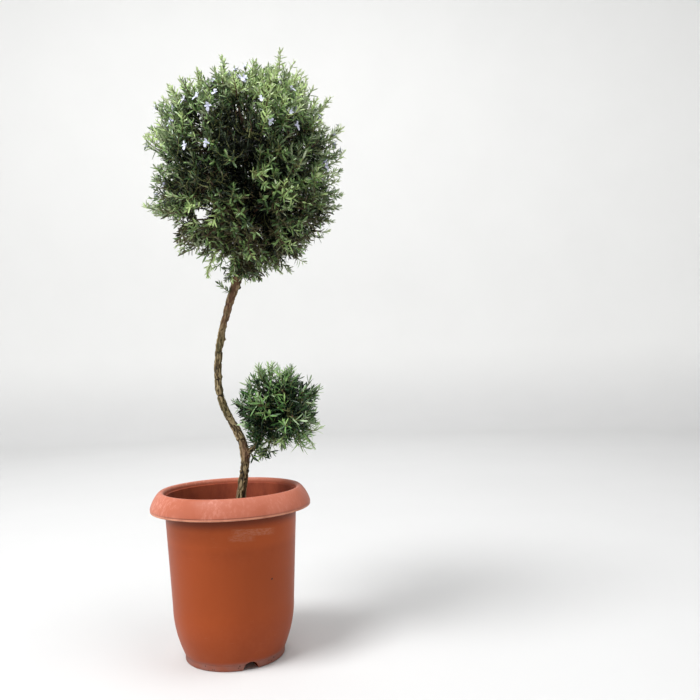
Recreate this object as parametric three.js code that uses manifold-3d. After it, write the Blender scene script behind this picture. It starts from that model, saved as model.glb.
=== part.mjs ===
// A rosemary standard: a small tree clipped to a ball on a bowed stem, with a second, smaller
// ball on a side bough, growing in a deep round plastic pot. Millimetres, +Z up, +Y to the back.
// The origin is the middle of the pot's flat underside.
import * as THREE from "three";
import { mergeVertices } from "three/addons/utils/BufferGeometryUtils.js";
import Module from "manifold-3d";

const wasm = await Module();
wasm.setup();

// Sizes of the pot
const potHeight = 218.7;
const lipRadius = 105;
const lipBottom = 193.5;
const lipEdge = 3.5;
const lipCrest = 5.3;
const lipPower = 1.35;
const crestRise = 2.7;
const mouthRadius = 86.7;
const stepHeight = 212;
const neckRadius = 86;
const bellyRadius = 79.2;
const bellyHeight = 70;
const footRadius = 64.8;
const footHeight = 8.5;
const footStep = 0.6;
const wall = 2.3;
const floorTop = 3;
const floorInset = 6;
const potSegments = 30;

// Drainage channels under the pot, each an arch in the foot that leads to a hole
const channelCount = 3;
const channelTurn = -73.4;
const channelRadius = 10;
const channelStart = 36;
const drainRadius = 4;
const drainPlace = 43;

// The soil stands below the rim, and solids that touch keep this gap
const soilTop = 184;
const gap = 0.3;

// The stem's centreline, from the soil to its tip inside the crown
const stemPath = [
  [9, 0, 170],
  [14, 0, 212],
  [20.4, 1, 262],
  [13, 3, 288],
  [-5, 4, 325],
  [-12, 2, 358],
  [-8.6, 0, 408],
  [6, 0, 464],
  [20.5, 0, 505],
  [26, 1, 552],
  [29, 2, 604],
];
const stemRadius = 5.4;
const stemWaist = 4.2;
const stemSwell = 1.3;
const stemTip = 3.4;
const rootFlare = 3.2;
const flareHeight = 9;
// Stubs where side shoots were pruned off the stem
const prunedStubs = [
  { height: 492, bearing: 185, length: 3, radius: 2.2 },
  { height: 487, bearing: -10, length: 2.4, radius: 1.8 },
  { height: 417, bearing: 0, length: 1.6, radius: 1.4 },
  { height: 366, bearing: 10, length: 1.4, radius: 1.5 },
  { height: 240, bearing: -20, length: 1.6, radius: 1.8 },
];

// A clipped ball of foliage: its middle, its half axes out to the usual leaf tips, how much its
// upper shoulders swell, its shoots with the whorls on each, and the long shoots that stand out
// of it, by bearing across the front view, lean towards the back, and reach from the middle
const crownBall = {
  middle: new THREE.Vector3(35, 0, 641),
  half: new THREE.Vector3(120, 120, 134),
  shoulder: 0.07,
  shoots: 100,
  whorls: 2,
  rootShare: 0.66,
  leaders: [
    { bearing: 13, lean: 4, reach: 141 },
    { bearing: 22, lean: -8, reach: 144 },
    { bearing: 38, lean: -4, reach: 158 },
    { bearing: 54, lean: 6, reach: 164 },
    { bearing: 72, lean: 0, reach: 177 },
    { bearing: 84, lean: -12, reach: 147 },
    { bearing: 102, lean: 0, reach: 163 },
    { bearing: 118, lean: -14, reach: 146 },
    { bearing: 126, lean: 4, reach: 159 },
    { bearing: 145, lean: 0, reach: 153 },
    { bearing: 158, lean: 8, reach: 144 },
    { bearing: 197, lean: 5, reach: 143 },
    { bearing: 227, lean: -6, reach: 148 },
    { bearing: 247, lean: -8, reach: 158 },
    { bearing: 260, lean: -12, reach: 159 },
    { bearing: 275, lean: 6, reach: 151 },
    { bearing: 287, lean: -8, reach: 143 },
    { bearing: 332, lean: -6, reach: 137 },
    { bearing: 344, lean: 8, reach: 138 },
    { bearing: 60, lean: -70, reach: 137 },
    { bearing: 60, lean: 55, reach: 148 },
    { bearing: 140, lean: 66, reach: 148 },
  ],
};
const sideBall = {
  middle: new THREE.Vector3(67, -2, 321),
  half: new THREE.Vector3(54, 54, 56),
  shoulder: 0,
  shoots: 21,
  whorls: 1,
  rootShare: 0.45,
  leaders: [
    { bearing: 27, lean: 4, reach: 68 },
    { bearing: 71, lean: -6, reach: 64 },
    { bearing: 112, lean: 6, reach: 69 },
    { bearing: 240, lean: -12, reach: 72 },
    { bearing: 310, lean: 4, reach: 77 },
    { bearing: 338, lean: -6, reach: 64 },
  ],
};

// Rings of the crown's masses: elevation seen from the middle, number, first bearing, and
// where their boughs leave the stem
const crownRings = [
  { elevation: 86, count: 1, turn: 0, forkHeight: 604 },
  { elevation: 38, count: 5, turn: 54, forkHeight: 586 },
  { elevation: -8, count: 5, turn: 18, forkHeight: 554 },
  { elevation: -54, count: 3, turn: 0, forkHeight: 524 },
];
const forkSpread = 26;

// The side bough's centreline, from inside the stem to where it enters the side ball
const sideBoughPath = [
  [20.4, 1, 260],
  [27, 0, 266],
  [36, -1, 273],
  [45, -2, 284],
];

// A small leafy sprig on the stem under the crown
const sprigRoot = new THREE.Vector3(12, -2, 483);
const sprigTip = new THREE.Vector3(-8, -7, 497);

// Sky shows through the crown here, along a line of sight from the front
const skyGap = { place: new THREE.Vector3(-21, 0, 588), sight: [-0.02, 1, 0.2], radius: 7 };

// Boughs end this share of the way to their masses' middles, or where their own space begins
const boughShare = 0.6;
const boughRadius = 2.8;
const boughTip = 2;
// Shares of a crown's reach where its cores begin and end
const coreInner = 0.4;
const coreOuter = 0.88;
const coreMiddle = 0.62;
const spaceMargin = 0.4;

// A leafy shoot: a three-sided twig with whorls of three needles
const shootStart = 25;
const whorlSpacing = 7;
const twigRadius = 1.9;
const needleLength = 19;
const needleBase = 3.2;
const shootLift = 0.38;
const bloomEvery = 6;

const goldenAngle = Math.PI * (3 - Math.sqrt(5));
const up = new THREE.Vector3(0, 0, 1);

const leafGreen = new THREE.Color(0.13, 0.22, 0.09);
const barkBrown = new THREE.Color(0.24, 0.18, 0.12);
const leafFinish = new THREE.MeshStandardMaterial({ color: leafGreen, roughness: 0.6, metalness: 0 });
const barkFinish = new THREE.MeshStandardMaterial({ color: barkBrown, roughness: 0.9, metalness: 0 });
const potFinish = new THREE.MeshStandardMaterial({ color: 0xb05535, roughness: 0.55, metalness: 0 });
const soilFinish = new THREE.MeshStandardMaterial({ color: 0x2b1d14, roughness: 1, metalness: 0 });

// A repeatable stream of numbers from 0 to 1
function seeded(seed) {
  let state = seed * 7919 + 17;
  return () => {
    state = (state * 48271) % 2147483647;
    return state / 2147483647;
  };
}

// A closed three.js geometry as a solid that can be joined and cut
function solidOf(geometry) {
  const bare = geometry.index ? geometry.toNonIndexed() : geometry.clone();
  bare.deleteAttribute("normal");
  bare.deleteAttribute("uv");
  const merged = mergeVertices(bare, 1e-4);
  return new wasm.Manifold(
    new wasm.Mesh({
      numProp: 3,
      vertProperties: merged.attributes.position.array,
      triVerts: new Uint32Array(merged.index.array),
    }),
  );
}

// The biggest outer skin of a solid: loose scraps are dropped and sealed hollows filled
function mainBody(solid) {
  const bodies = solid.decompose();
  return bodies.reduce((best, body) => (body.volume() > best.volume() ? body : best));
}

function geometryOf(solid) {
  const { vertProperties, triVerts } = solid.getMesh();
  const geometry = new THREE.BufferGeometry();
  geometry.setAttribute("position", new THREE.BufferAttribute(new Float32Array(vertProperties), 3));
  geometry.setIndex(new THREE.BufferAttribute(new Uint32Array(triVerts), 1));
  geometry.computeVertexNormals();
  return geometry;
}

function meshOf(name, solid, finish) {
  const mesh = new THREE.Mesh(geometryOf(mainBody(solid)), finish);
  mesh.name = name;
  return mesh;
}

function joined(solids) {
  return solids.reduce((whole, solid) => whole.add(solid));
}

function geometryFromFaces(points, faces) {
  const geometry = new THREE.BufferGeometry().setFromPoints(points);
  geometry.setIndex(faces.flat());
  return geometry;
}

// A box in place, used for flat cuts
function block(low, high) {
  const size = new THREE.Vector3().subVectors(high, low);
  const box = new THREE.BoxGeometry(size.x, size.y, size.z);
  box.translate((low.x + high.x) / 2, (low.y + high.y) / 2, (low.z + high.z) / 2);
  return solidOf(box);
}

// The belly swells from the foot as part of a parabola
function bellyProfile(inset, steps) {
  const points = [];
  for (let i = 0; i <= steps; i++) {
    const z = footHeight + ((bellyHeight - footHeight) * i) / steps;
    const fall = ((bellyHeight - z) / (bellyHeight - footHeight)) ** 2;
    points.push([bellyRadius - (bellyRadius - footRadius - footStep) * fall - inset, z]);
  }
  return points;
}

// The pot's inside, from its floor up the wall; an inset of zero is the wall's own surface
function insideProfile(inset, top) {
  const slope = (neckRadius - bellyRadius) / (lipBottom - bellyHeight);
  return [
    [0, floorTop + inset],
    [footRadius - floorInset - inset, floorTop + inset],
    ...bellyProfile(wall + inset, 3),
    [bellyRadius - wall - inset + slope * (top - bellyHeight), top],
  ];
}

// The lip falls from its crest to the rolled edge as a quarter of a flattened ellipse
function lipProfile(inset, steps) {
  const points = [];
  const width = lipRadius - mouthRadius - lipCrest - inset;
  const height = potHeight - lipBottom - lipEdge - inset;
  for (let i = 0; i <= steps; i++) {
    const angle = (Math.PI / 2) * (i / steps);
    points.push([
      mouthRadius + lipCrest + width * Math.sin(angle) ** (2 / lipPower),
      lipBottom + lipEdge + height * Math.cos(angle) ** (2 / lipPower),
    ]);
  }
  return points;
}

function lathed(profile) {
  const points = profile.map(([r, z]) => new THREE.Vector2(r, z));
  const geometry = new THREE.LatheGeometry(points, potSegments);
  geometry.rotateX(Math.PI / 2);
  return solidOf(geometry);
}

// A cylinder lying along a radius of the pot, from one distance to another
function radialCylinder(radius, from, to, turn) {
  const rod = new THREE.CylinderGeometry(radius, radius, to - from, 12);
  rod.rotateZ(-Math.PI / 2);
  rod.translate((from + to) / 2, 0, 0);
  rod.rotateZ(turn);
  return solidOf(rod);
}

function channelTurns() {
  return Array.from({ length: channelCount }, (_, i) =>
    THREE.MathUtils.degToRad(channelTurn + (360 / channelCount) * i),
  );
}

const underFloor = block(new THREE.Vector3(-150, -150, -40), new THREE.Vector3(150, 150, 0));

function makePot() {
  const outer = [
    [0, 0],
    [footRadius - 2, 0],
    [footRadius, 1.6],
    [footRadius, footHeight],
    ...bellyProfile(0, 3),
    [neckRadius, lipBottom],
  ];
  const underLip = lipProfile(wall, 2);
  const overLip = lipProfile(0, 4).reverse();
  const inner = [
    [mouthRadius + 2, potHeight - 0.9],
    [mouthRadius, potHeight - crestRise],
    [mouthRadius - 0.4, stepHeight + 0.8],
    ...insideProfile(0, stepHeight).reverse(),
  ];
  const rolledEdge = [
    [lipRadius - wall, lipBottom],
    [lipRadius - 0.4, lipBottom],
  ];
  const shell = lathed([
    ...outer,
    [mouthRadius + 0.9, stepHeight - 1],
    ...underLip,
    ...rolledEdge,
    ...overLip,
    ...inner,
  ]);
  const turns = channelTurns();
  const covers = turns.map((turn) =>
    radialCylinder(channelRadius + wall, channelStart - wall, footRadius - 1, turn),
  );
  const channels = turns.map((turn) => radialCylinder(channelRadius, channelStart, neckRadius, turn));
  const drains = turns.map((turn) => {
    const hole = new THREE.CylinderGeometry(drainRadius, drainRadius, 40, 8);
    hole.rotateX(Math.PI / 2);
    hole.translate(drainPlace * Math.cos(turn), drainPlace * Math.sin(turn), 15);
    return solidOf(hole);
  });
  return joined([shell, ...covers])
    .subtract(joined([...channels, ...drains]))
    .subtract(underFloor);
}

function makeSoil() {
  const fill = lathed([...insideProfile(gap, soilTop), [0, soilTop]]);
  const covers = channelTurns().map((turn) =>
    radialCylinder(channelRadius + wall + gap, channelStart - wall - gap, footRadius, turn),
  );
  return fill.subtract(joined(covers));
}

// A limb along a curve: rings of a given radius, closed at both ends
function limb(curve, radiusAt, sides, steps) {
  const frames = curve.computeFrenetFrames(steps, false);
  const points = [];
  const faces = [];
  for (let i = 0; i <= steps; i++) {
    const share = i / steps;
    const centre = curve.getPointAt(share);
    for (let j = 0; j < sides; j++) {
      const angle = (2 * Math.PI * j) / sides;
      const radius = radiusAt(share, angle);
      points.push(
        centre
          .clone()
          .addScaledVector(frames.normals[i], radius * Math.cos(angle))
          .addScaledVector(frames.binormals[i], radius * Math.sin(angle)),
      );
    }
  }
  for (let i = 0; i < steps; i++) {
    for (let j = 0; j < sides; j++) {
      const a = i * sides + j;
      const b = i * sides + ((j + 1) % sides);
      faces.push([a, b, b + sides], [a, b + sides, a + sides]);
    }
  }
  for (let j = 1; j < sides - 1; j++) {
    const last = steps * sides;
    faces.push([0, j + 1, j], [last, last + j, last + j + 1]);
  }
  return solidOf(geometryFromFaces(points, faces));
}

const stemCurve = new THREE.CatmullRomCurve3(
  stemPath.map((p) => new THREE.Vector3(...p)),
  false,
  "centripetal",
);

// The stem is thickest at the soil, waists above the side bough and swells under the crown
function stemRadiusAt(height) {
  const { smoothstep } = THREE.MathUtils;
  const flare = rootFlare * Math.exp(-Math.max(height - soilTop, 0) / flareHeight);
  const waist = smoothstep(height, 268, 318) * (stemRadius - stemWaist);
  const swell = smoothstep(height, 440, 500) * stemSwell;
  const tip = smoothstep(height, 510, 600) * (stemWaist + stemSwell - stemTip);
  return stemRadius + flare - waist + swell - tip;
}

function stemSolid(extra, sides, steps) {
  const radiusAt = (share, angle) => {
    const height = stemCurve.getPointAt(share).z;
    return stemRadiusAt(height) * (1 + 0.07 * Math.sin(3 * angle + height / 40)) + extra;
  };
  return limb(stemCurve, radiusAt, sides, steps);
}

// Where the stem's centreline crosses a height
function stemPoint(height) {
  let low = 0;
  let high = 1;
  for (let step = 0; step < 30; step++) {
    const middle = (low + high) / 2;
    if (stemCurve.getPoint(middle).z < height) low = middle;
    else high = middle;
  }
  return stemCurve.getPoint(low);
}

function makeTrunk() {
  const stubs = prunedStubs.map(({ height, bearing, length, radius }) => {
    const start = stemPoint(height);
    const reach = stemRadiusAt(height) + length;
    const end = start.clone().addScaledVector(directionOf(bearing, 27), reach);
    return limb(new THREE.LineCurve3(start, end), () => radius, 5, 1);
  });
  const below = block(new THREE.Vector3(-60, -60, 100), new THREE.Vector3(80, 60, soilTop + gap));
  return joined([stemSolid(0, 9, 28), ...stubs]).subtract(below);
}

// A point on an ellipsoid's surface scaled by share, in its own frame
function onShell(direction, half, share) {
  return direction.clone().multiply(half).multiplyScalar(share);
}

function directionOf(bearing, elevation) {
  const b = THREE.MathUtils.degToRad(bearing);
  const e = THREE.MathUtils.degToRad(elevation);
  return new THREE.Vector3(Math.cos(b) * Math.cos(e), Math.sin(b) * Math.cos(e), Math.sin(e));
}

// One leafy shoot from its root to its tip. The twig is three-sided; a whorl is a short band
// of its skin with three faces drawn out into needles, and its end splits into three more.
function shoot(root, tip, whorls, rnd) {
  const along = new THREE.Vector3().subVectors(tip, root);
  const length = along.length();
  along.normalize();
  const side = new THREE.Vector3(along.z, along.x * 0.3, -along.x).cross(along).normalize();
  const other = new THREE.Vector3().crossVectors(along, side);
  const turn = rnd() * Math.PI;
  const spin = (angle) =>
    side.clone().multiplyScalar(Math.cos(angle)).addScaledVector(other, Math.sin(angle));
  const leafy = length - needleLength * 0.8;
  const stations = [0];
  for (let w = 0; w < whorls; w++) {
    const at = leafy - (whorls - 1 - w) * (needleBase + whorlSpacing) - needleBase;
    stations.push(at, at + needleBase);
  }
  const points = [];
  const faces = [];
  stations.forEach((at, k) => {
    const radius = twigRadius * (1 - 0.35 * (at / length));
    for (let j = 0; j < 3; j++) {
      const angle = turn + (Math.PI / 3) * k + (2 * Math.PI * j) / 3;
      points.push(root.clone().addScaledVector(along, at).addScaledVector(spin(angle), radius));
    }
  });
  // A face is drawn out to a point that leans forward from the twig
  const drawOut = (a, b, c, angle, lean, reach) => {
    const apex = points[a].clone().add(points[b]).add(points[c]).divideScalar(3);
    apex.addScaledVector(spin(angle), reach * Math.sin(lean));
    apex.addScaledVector(along, reach * Math.cos(lean));
    points.push(apex);
    const p = points.length - 1;
    faces.push([a, b, p], [b, c, p], [c, a, p]);
  };
  faces.push([0, 2, 1]);
  for (let k = 0; k < stations.length - 1; k++) {
    const lean = THREE.MathUtils.degToRad(66 - 9 * k + 10 * rnd());
    for (let j = 0; j < 3; j++) {
      const low = 3 * k + j;
      const lowNext = 3 * k + ((j + 1) % 3);
      const high = low + 3;
      const highNext = lowNext + 3;
      const angle = turn + (Math.PI / 3) * (k + 1) + (2 * Math.PI * j) / 3;
      faces.push([lowNext, highNext, high]);
      if (k % 2 === 0) faces.push([low, lowNext, high]);
      else drawOut(low, lowNext, high, angle, lean, needleLength * (0.85 + 0.3 * rnd()));
    }
  }
  const end = 3 * (stations.length - 1);
  points.push(root.clone().addScaledVector(along, stations.at(-1) + needleBase));
  const peak = points.length - 1;
  for (let j = 0; j < 3; j++) {
    const angle = turn + (Math.PI / 3) * stations.length + (2 * Math.PI * j) / 3;
    drawOut(end + j, end + ((j + 1) % 3), peak, angle, 0.34, needleLength * 0.8);
  }
  return { points, faces };
}

// A small open flower in a leaf's armpit: a five-sided cup with its mouth outwards
function blossom(place, outward) {
  const cup = new THREE.ConeGeometry(3.6, 9, 5);
  cup.translate(0, -2.5, 0);
  const turn = new THREE.Quaternion().setFromUnitVectors(new THREE.Vector3(0, -1, 0), outward);
  cup.applyQuaternion(turn);
  cup.translate(place.x, place.y, place.z);
  return solidOf(cup);
}

// The foliage masses' middles, in the crown's frame
const crownMasses = crownRings.flatMap(({ elevation, count, turn, forkHeight }) =>
  Array.from({ length: count }, (_, i) => {
    const bearing = turn + (360 / count) * i;
    const direction = directionOf(bearing, elevation);
    const stagger = forkSpread * (((i * 2) % count) / count - 0.5);
    return {
      bearing,
      direction,
      middle: onShell(direction, crownBall.half, coreMiddle),
      forkHeight: forkHeight + stagger,
    };
  }),
);

// How far inside its own space a point lies: the space ends halfway to each other mass
function roomAt(point, masses, own) {
  let room = Infinity;
  masses.forEach((mass, i) => {
    if (i === own) return;
    const across = new THREE.Vector3().subVectors(mass.middle, masses[own].middle);
    const halfway = across.length() / 2;
    across.normalize();
    const from = new THREE.Vector3().subVectors(point, masses[own].middle);
    room = Math.min(room, halfway - from.dot(across));
  });
  return room;
}

// How far a ray runs before it leaves an ellipsoid, or before it enters one from outside
function distanceToShell(from, direction, half, share) {
  const a = direction.clone().divide(half);
  const b = from.clone().divide(half);
  const qa = a.lengthSq();
  const qb = a.dot(b);
  const qc = b.lengthSq() - share * share;
  const inside = qb * qb - qa * qc;
  if (inside < 0) return Infinity;
  const near = (-qb - Math.sqrt(inside)) / qa;
  const far = (-qb + Math.sqrt(inside)) / qa;
  if (near > 0) return near;
  return far > 0 ? far : Infinity;
}

// The dark dense heart of a mass: a lump that fills the middle of its space
function core({ half }, masses, own, rnd) {
  const lump = new THREE.IcosahedronGeometry(1, 1);
  lump.deleteAttribute("normal");
  lump.deleteAttribute("uv");
  const merged = mergeVertices(lump, 1e-4);
  const place = merged.attributes.position;
  const middle = masses[own].middle;
  const ray = new THREE.Vector3();
  for (let i = 0; i < place.count; i++) {
    ray.fromBufferAttribute(place, i).normalize();
    let reach = distanceToShell(middle, ray, half, coreOuter);
    if (masses.length > 1) reach = Math.min(reach, distanceToShell(middle, ray, half, coreInner));
    masses.forEach((mass, j) => {
      if (j === own) return;
      const across = new THREE.Vector3().subVectors(mass.middle, middle);
      const towards = ray.dot(across.clone().normalize());
      if (towards > 0) reach = Math.min(reach, (across.length() / 2 - spaceMargin) / towards);
    });
    reach *= 0.9 + 0.1 * rnd();
    place.setXYZ(i, ...ray.multiplyScalar(reach).add(middle).toArray());
  }
  return solidOf(merged);
}

// All shoots of one mass that keep to its space. A shoot that would leave it or touch a limb
// is moved towards the mass's own middle line a few times, and skipped if that doesn't help;
// where the mass is a whole ball it is moved round the ball instead.
function leafyShoots({ half, rootShare }, tips, masses, own, limbs, rnd) {
  const solids = [];
  const whole = masses.length === 1;
  const pull = masses[own].middle.clone().normalize();
  tips.forEach(({ direction, reach, whorls, blooms }) => {
    for (let attempt = 0; attempt < 5; attempt++) {
      const aim = direction.clone().addScaledVector(pull, attempt * 0.11).normalize();
      if (whole) aim.applyAxisAngle(up, attempt * 0.16);
      const tip = onShell(aim, half, reach);
      const growth = tip.clone().normalize().addScaledVector(up, shootLift).normalize();
      const root = tip.clone().addScaledVector(growth, -shootStart - whorlSpacing * whorls);
      root.lerp(onShell(aim, half, rootShare), 0.5);
      const { points, faces } = shoot(root, tip, whorls, rnd);
      if (points.some((p) => roomAt(p, masses, own) < spaceMargin)) continue;
      const leafy = solidOf(geometryFromFaces(points, faces));
      if (!limbs.intersect(leafy).isEmpty()) continue;
      solids.push(leafy);
      if (blooms) {
        const out = new THREE.Vector3(growth.z, growth.x, growth.y).cross(growth).normalize();
        const place = root.clone().lerp(tip, 0.72).addScaledVector(out, 1.5);
        solids.push(blossom(place, out));
      }
      return;
    }
  });
  return solids;
}

// Tips spread evenly over a ball by the golden angle, and the long shoots that stand out.
// The shoulders swell most halfway between the ball's equator and its top.
function tipsOver({ half, shoulder, shoots, whorls, leaders }, rnd) {
  const tips = Array.from({ length: shoots }, (_, k) => {
    const z = 1 - (2 * (k + 0.5)) / shoots;
    const bearing = k * goldenAngle + 0.25 * (rnd() - 0.5);
    const level = Math.sqrt(1 - z * z);
    const direction = new THREE.Vector3(level * Math.cos(bearing), level * Math.sin(bearing), z);
    const swell = z > 0 ? 1 + shoulder * (2 * z * level) ** 2 : 1;
    const reach = (0.97 + 0.11 * rnd()) * swell;
    return { direction, reach, whorls, blooms: z > -0.2 && k % bloomEvery === 2 };
  });
  leaders.forEach(({ bearing, lean, reach }) => {
    const across = directionOf(bearing, 0);
    const back = Math.tan(THREE.MathUtils.degToRad(lean));
    const direction = new THREE.Vector3(across.x, back, across.y).normalize();
    const usual = onShell(direction, half, 1).length();
    tips.push({ direction, reach: reach / usual, whorls: whorls + 1, blooms: false });
  });
  return tips;
}

function nearestMass(point, masses) {
  const distances = masses.map((mass) => mass.middle.distanceTo(point));
  return distances.indexOf(Math.min(...distances));
}

// A bough runs out from the stem and ends where its mass's own stem goes on
function makeBough(start, end, arrival, radius, extra) {
  const along = new THREE.Vector3().subVectors(end, start);
  const bend = start.clone().addScaledVector(along, 0.5);
  bend.addScaledVector(up, along.length() * 0.06);
  const curve = new THREE.CatmullRomCurve3([
    start,
    bend,
    end.clone().addScaledVector(arrival, -4),
    end.clone().addScaledVector(arrival, extra),
  ]);
  const taper = (share) => radius + (boughTip - radius) * share + extra;
  return limb(curve, taper, 6, 4);
}

function sideBough(extra) {
  const curve = new THREE.CatmullRomCurve3(sideBoughPath.map((p) => new THREE.Vector3(...p)));
  return limb(curve, (share) => 3.6 - 1.4 * share + extra, 6, 5);
}

// A thin cylinder along a line of sight, in the frame of a group at the given middle
function sightLine({ place, sight, radius }, middle) {
  const rod = new THREE.CylinderGeometry(radius, radius, 600, 8);
  const along = new THREE.Vector3(...sight).normalize();
  rod.applyQuaternion(new THREE.Quaternion().setFromUnitVectors(new THREE.Vector3(0, 1, 0), along));
  const at = place.clone().sub(middle);
  rod.translate(at.x, at.y, at.z);
  return solidOf(rod);
}

const stemClearance = stemSolid(gap, 9, 28);

function crownBough(mass, i, extra) {
  const start = stemPoint(mass.forkHeight);
  start.addScaledVector(directionOf(mass.bearing, 0), stemRadiusAt(mass.forkHeight) * 0.7);
  if (i === 0) start.copy(stemCurve.getPoint(1)).addScaledVector(up, gap);
  start.sub(crownBall.middle);
  let share = boughShare;
  while (roomAt(start.clone().lerp(mass.middle, share), crownMasses, i) < 6) share += 0.04;
  const end = start.clone().lerp(mass.middle, share);
  const arrival = new THREE.Vector3().subVectors(mass.middle, start).normalize();
  return { end, solid: makeBough(start, end, arrival, boughRadius, extra) };
}

// One mass: its dense heart and its own stem, cut clear of the limbs, and its leafy shoots
function makeMass(ball, tips, masses, own, stemStart, limbs, rnd) {
  const stem = limb(new THREE.LineCurve3(stemStart, masses[own].middle), () => boughTip, 6, 1);
  const heart = core(ball, masses, own, rnd).add(stem).subtract(limbs);
  return joined([heart, ...leafyShoots(ball, tips, masses, own, limbs, rnd)]);
}

// Everything on the plant that the crown has to keep clear of, in the crown's own frame
function crownObstacles() {
  return joined([
    stemClearance.translate(crownBall.middle.clone().negate().toArray()),
    sightLine(skyGap, crownBall.middle),
    ...crownMasses.map((mass, i) => crownBough(mass, i, gap).solid),
  ]);
}

function makeCrown() {
  const crown = new THREE.Group();
  crown.position.copy(crownBall.middle);
  const ownStem = stemClearance.translate(crownBall.middle.clone().negate().toArray());
  const limbs = crownObstacles();
  const tips = tipsOver(crownBall, seeded(3));
  const massOf = tips.map(({ direction, reach }) =>
    nearestMass(onShell(direction, crownBall.half, reach), crownMasses),
  );
  crownMasses.forEach((mass, i) => {
    const label = String(i + 1).padStart(2, "0");
    const { end, solid } = crownBough(mass, i, 0);
    crown.add(meshOf(`crown_bough_${label}`, solid.subtract(ownStem), barkFinish));
    const own = tips.filter((_, k) => massOf[k] === i);
    const leaves = makeMass(crownBall, own, crownMasses, i, end, limbs, seeded(100 + i));
    crown.add(meshOf(`crown_mass_${label}`, leaves, leafFinish));
  });
  return crown;
}

// The side ball is one mass around its own middle
function makeSideBall() {
  const { middle } = sideBall;
  const ball = new THREE.Group();
  ball.position.copy(middle);
  const limbs = stemClearance.add(sideBough(gap)).translate(middle.clone().negate().toArray());
  const stemStart = new THREE.Vector3(...sideBoughPath.at(-1)).sub(middle);
  const masses = [{ middle: new THREE.Vector3() }];
  const tips = tipsOver(sideBall, seeded(8));
  const leaves = makeMass(sideBall, tips, masses, 0, stemStart, limbs, seeded(200));
  ball.add(meshOf("side_ball", leaves, leafFinish));
  return ball;
}

function makeSprig() {
  const { points, faces } = shoot(sprigRoot, sprigTip, 1, seeded(31));
  return solidOf(geometryFromFaces(points, faces)).subtract(stemClearance);
}

const tree = new THREE.Group();
tree.add(meshOf("pot", makePot(), potFinish));
tree.add(meshOf("potting_soil", makeSoil(), soilFinish));
tree.add(meshOf("trunk", makeTrunk(), barkFinish));
tree.add(meshOf("side_bough", sideBough(0).subtract(stemClearance), barkFinish));
tree.add(meshOf("stem_sprig", makeSprig(), leafFinish));
tree.add(makeSideBall());
tree.add(makeCrown());

export default tree;
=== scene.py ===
# A rosemary standard: a small tree clipped to a ball on a bowed stem, with a smaller ball on a
# side bough, in a deep round plastic pot. Sizes are millimetres until a mesh is made.
import math
from functools import cached_property

import bpy
import numpy as np
from mathutils import Matrix, Vector


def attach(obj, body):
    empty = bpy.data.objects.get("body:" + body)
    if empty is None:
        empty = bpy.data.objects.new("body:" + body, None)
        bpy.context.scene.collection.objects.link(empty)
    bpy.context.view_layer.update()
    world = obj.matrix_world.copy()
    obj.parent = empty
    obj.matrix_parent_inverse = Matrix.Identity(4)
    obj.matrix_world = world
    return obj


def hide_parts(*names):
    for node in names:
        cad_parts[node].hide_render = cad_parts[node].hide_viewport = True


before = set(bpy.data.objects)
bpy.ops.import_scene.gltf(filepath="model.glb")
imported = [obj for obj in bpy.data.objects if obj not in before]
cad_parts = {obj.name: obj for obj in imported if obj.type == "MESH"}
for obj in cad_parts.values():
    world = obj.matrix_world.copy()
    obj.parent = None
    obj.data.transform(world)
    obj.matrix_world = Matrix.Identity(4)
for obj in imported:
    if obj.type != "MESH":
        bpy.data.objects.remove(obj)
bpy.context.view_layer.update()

scene = bpy.context.scene
mm = 0.001
goldenAngle = math.pi * (3 - math.sqrt(5))
upward = np.array([0.0, 0.0, 1.0])


# A dictionary whose values are also read with a dot
class Values(dict):
    __getattr__ = dict.__getitem__


# The same rows of every array in a dictionary
def pick(table, rows):
    return Values({key: values[rows] for key, values in table.items()})


# An operator that adds a Math node, with the wire as its first value and as its second
def bothWays(operation):
    before = lambda wire, other: wire.maths(operation, wire, other)
    after = lambda wire, other: wire.maths(operation, other, wire)
    return before, after


# Shader tools: a Wire is one node output, and Python's operators on it add Math nodes
class Wire:
    __add__, __radd__ = bothWays("ADD")
    __sub__, __rsub__ = bothWays("SUBTRACT")
    __mul__, __rmul__ = bothWays("MULTIPLY")
    __pow__, __rpow__ = bothWays("POWER")

    def __init__(self, finish, socket):
        self.finish, self.socket = finish, socket

    def maths(self, operation, first, second=0.5):
        return self.finish.node("ShaderNodeMath", {"operation": operation}, {0: first, 1: second})

    def __abs__(self):
        return self.maths("ABSOLUTE", self)


# A colour as seen on a screen, 0 to 255, turned into the light it sends back
def seen(colour):
    share = np.array(colour) / 255
    light = np.where(share > 0.04045, ((share + 0.055) / 1.055) ** 2.4, share / 12.92)
    return tuple(float(value) for value in light)


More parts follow.
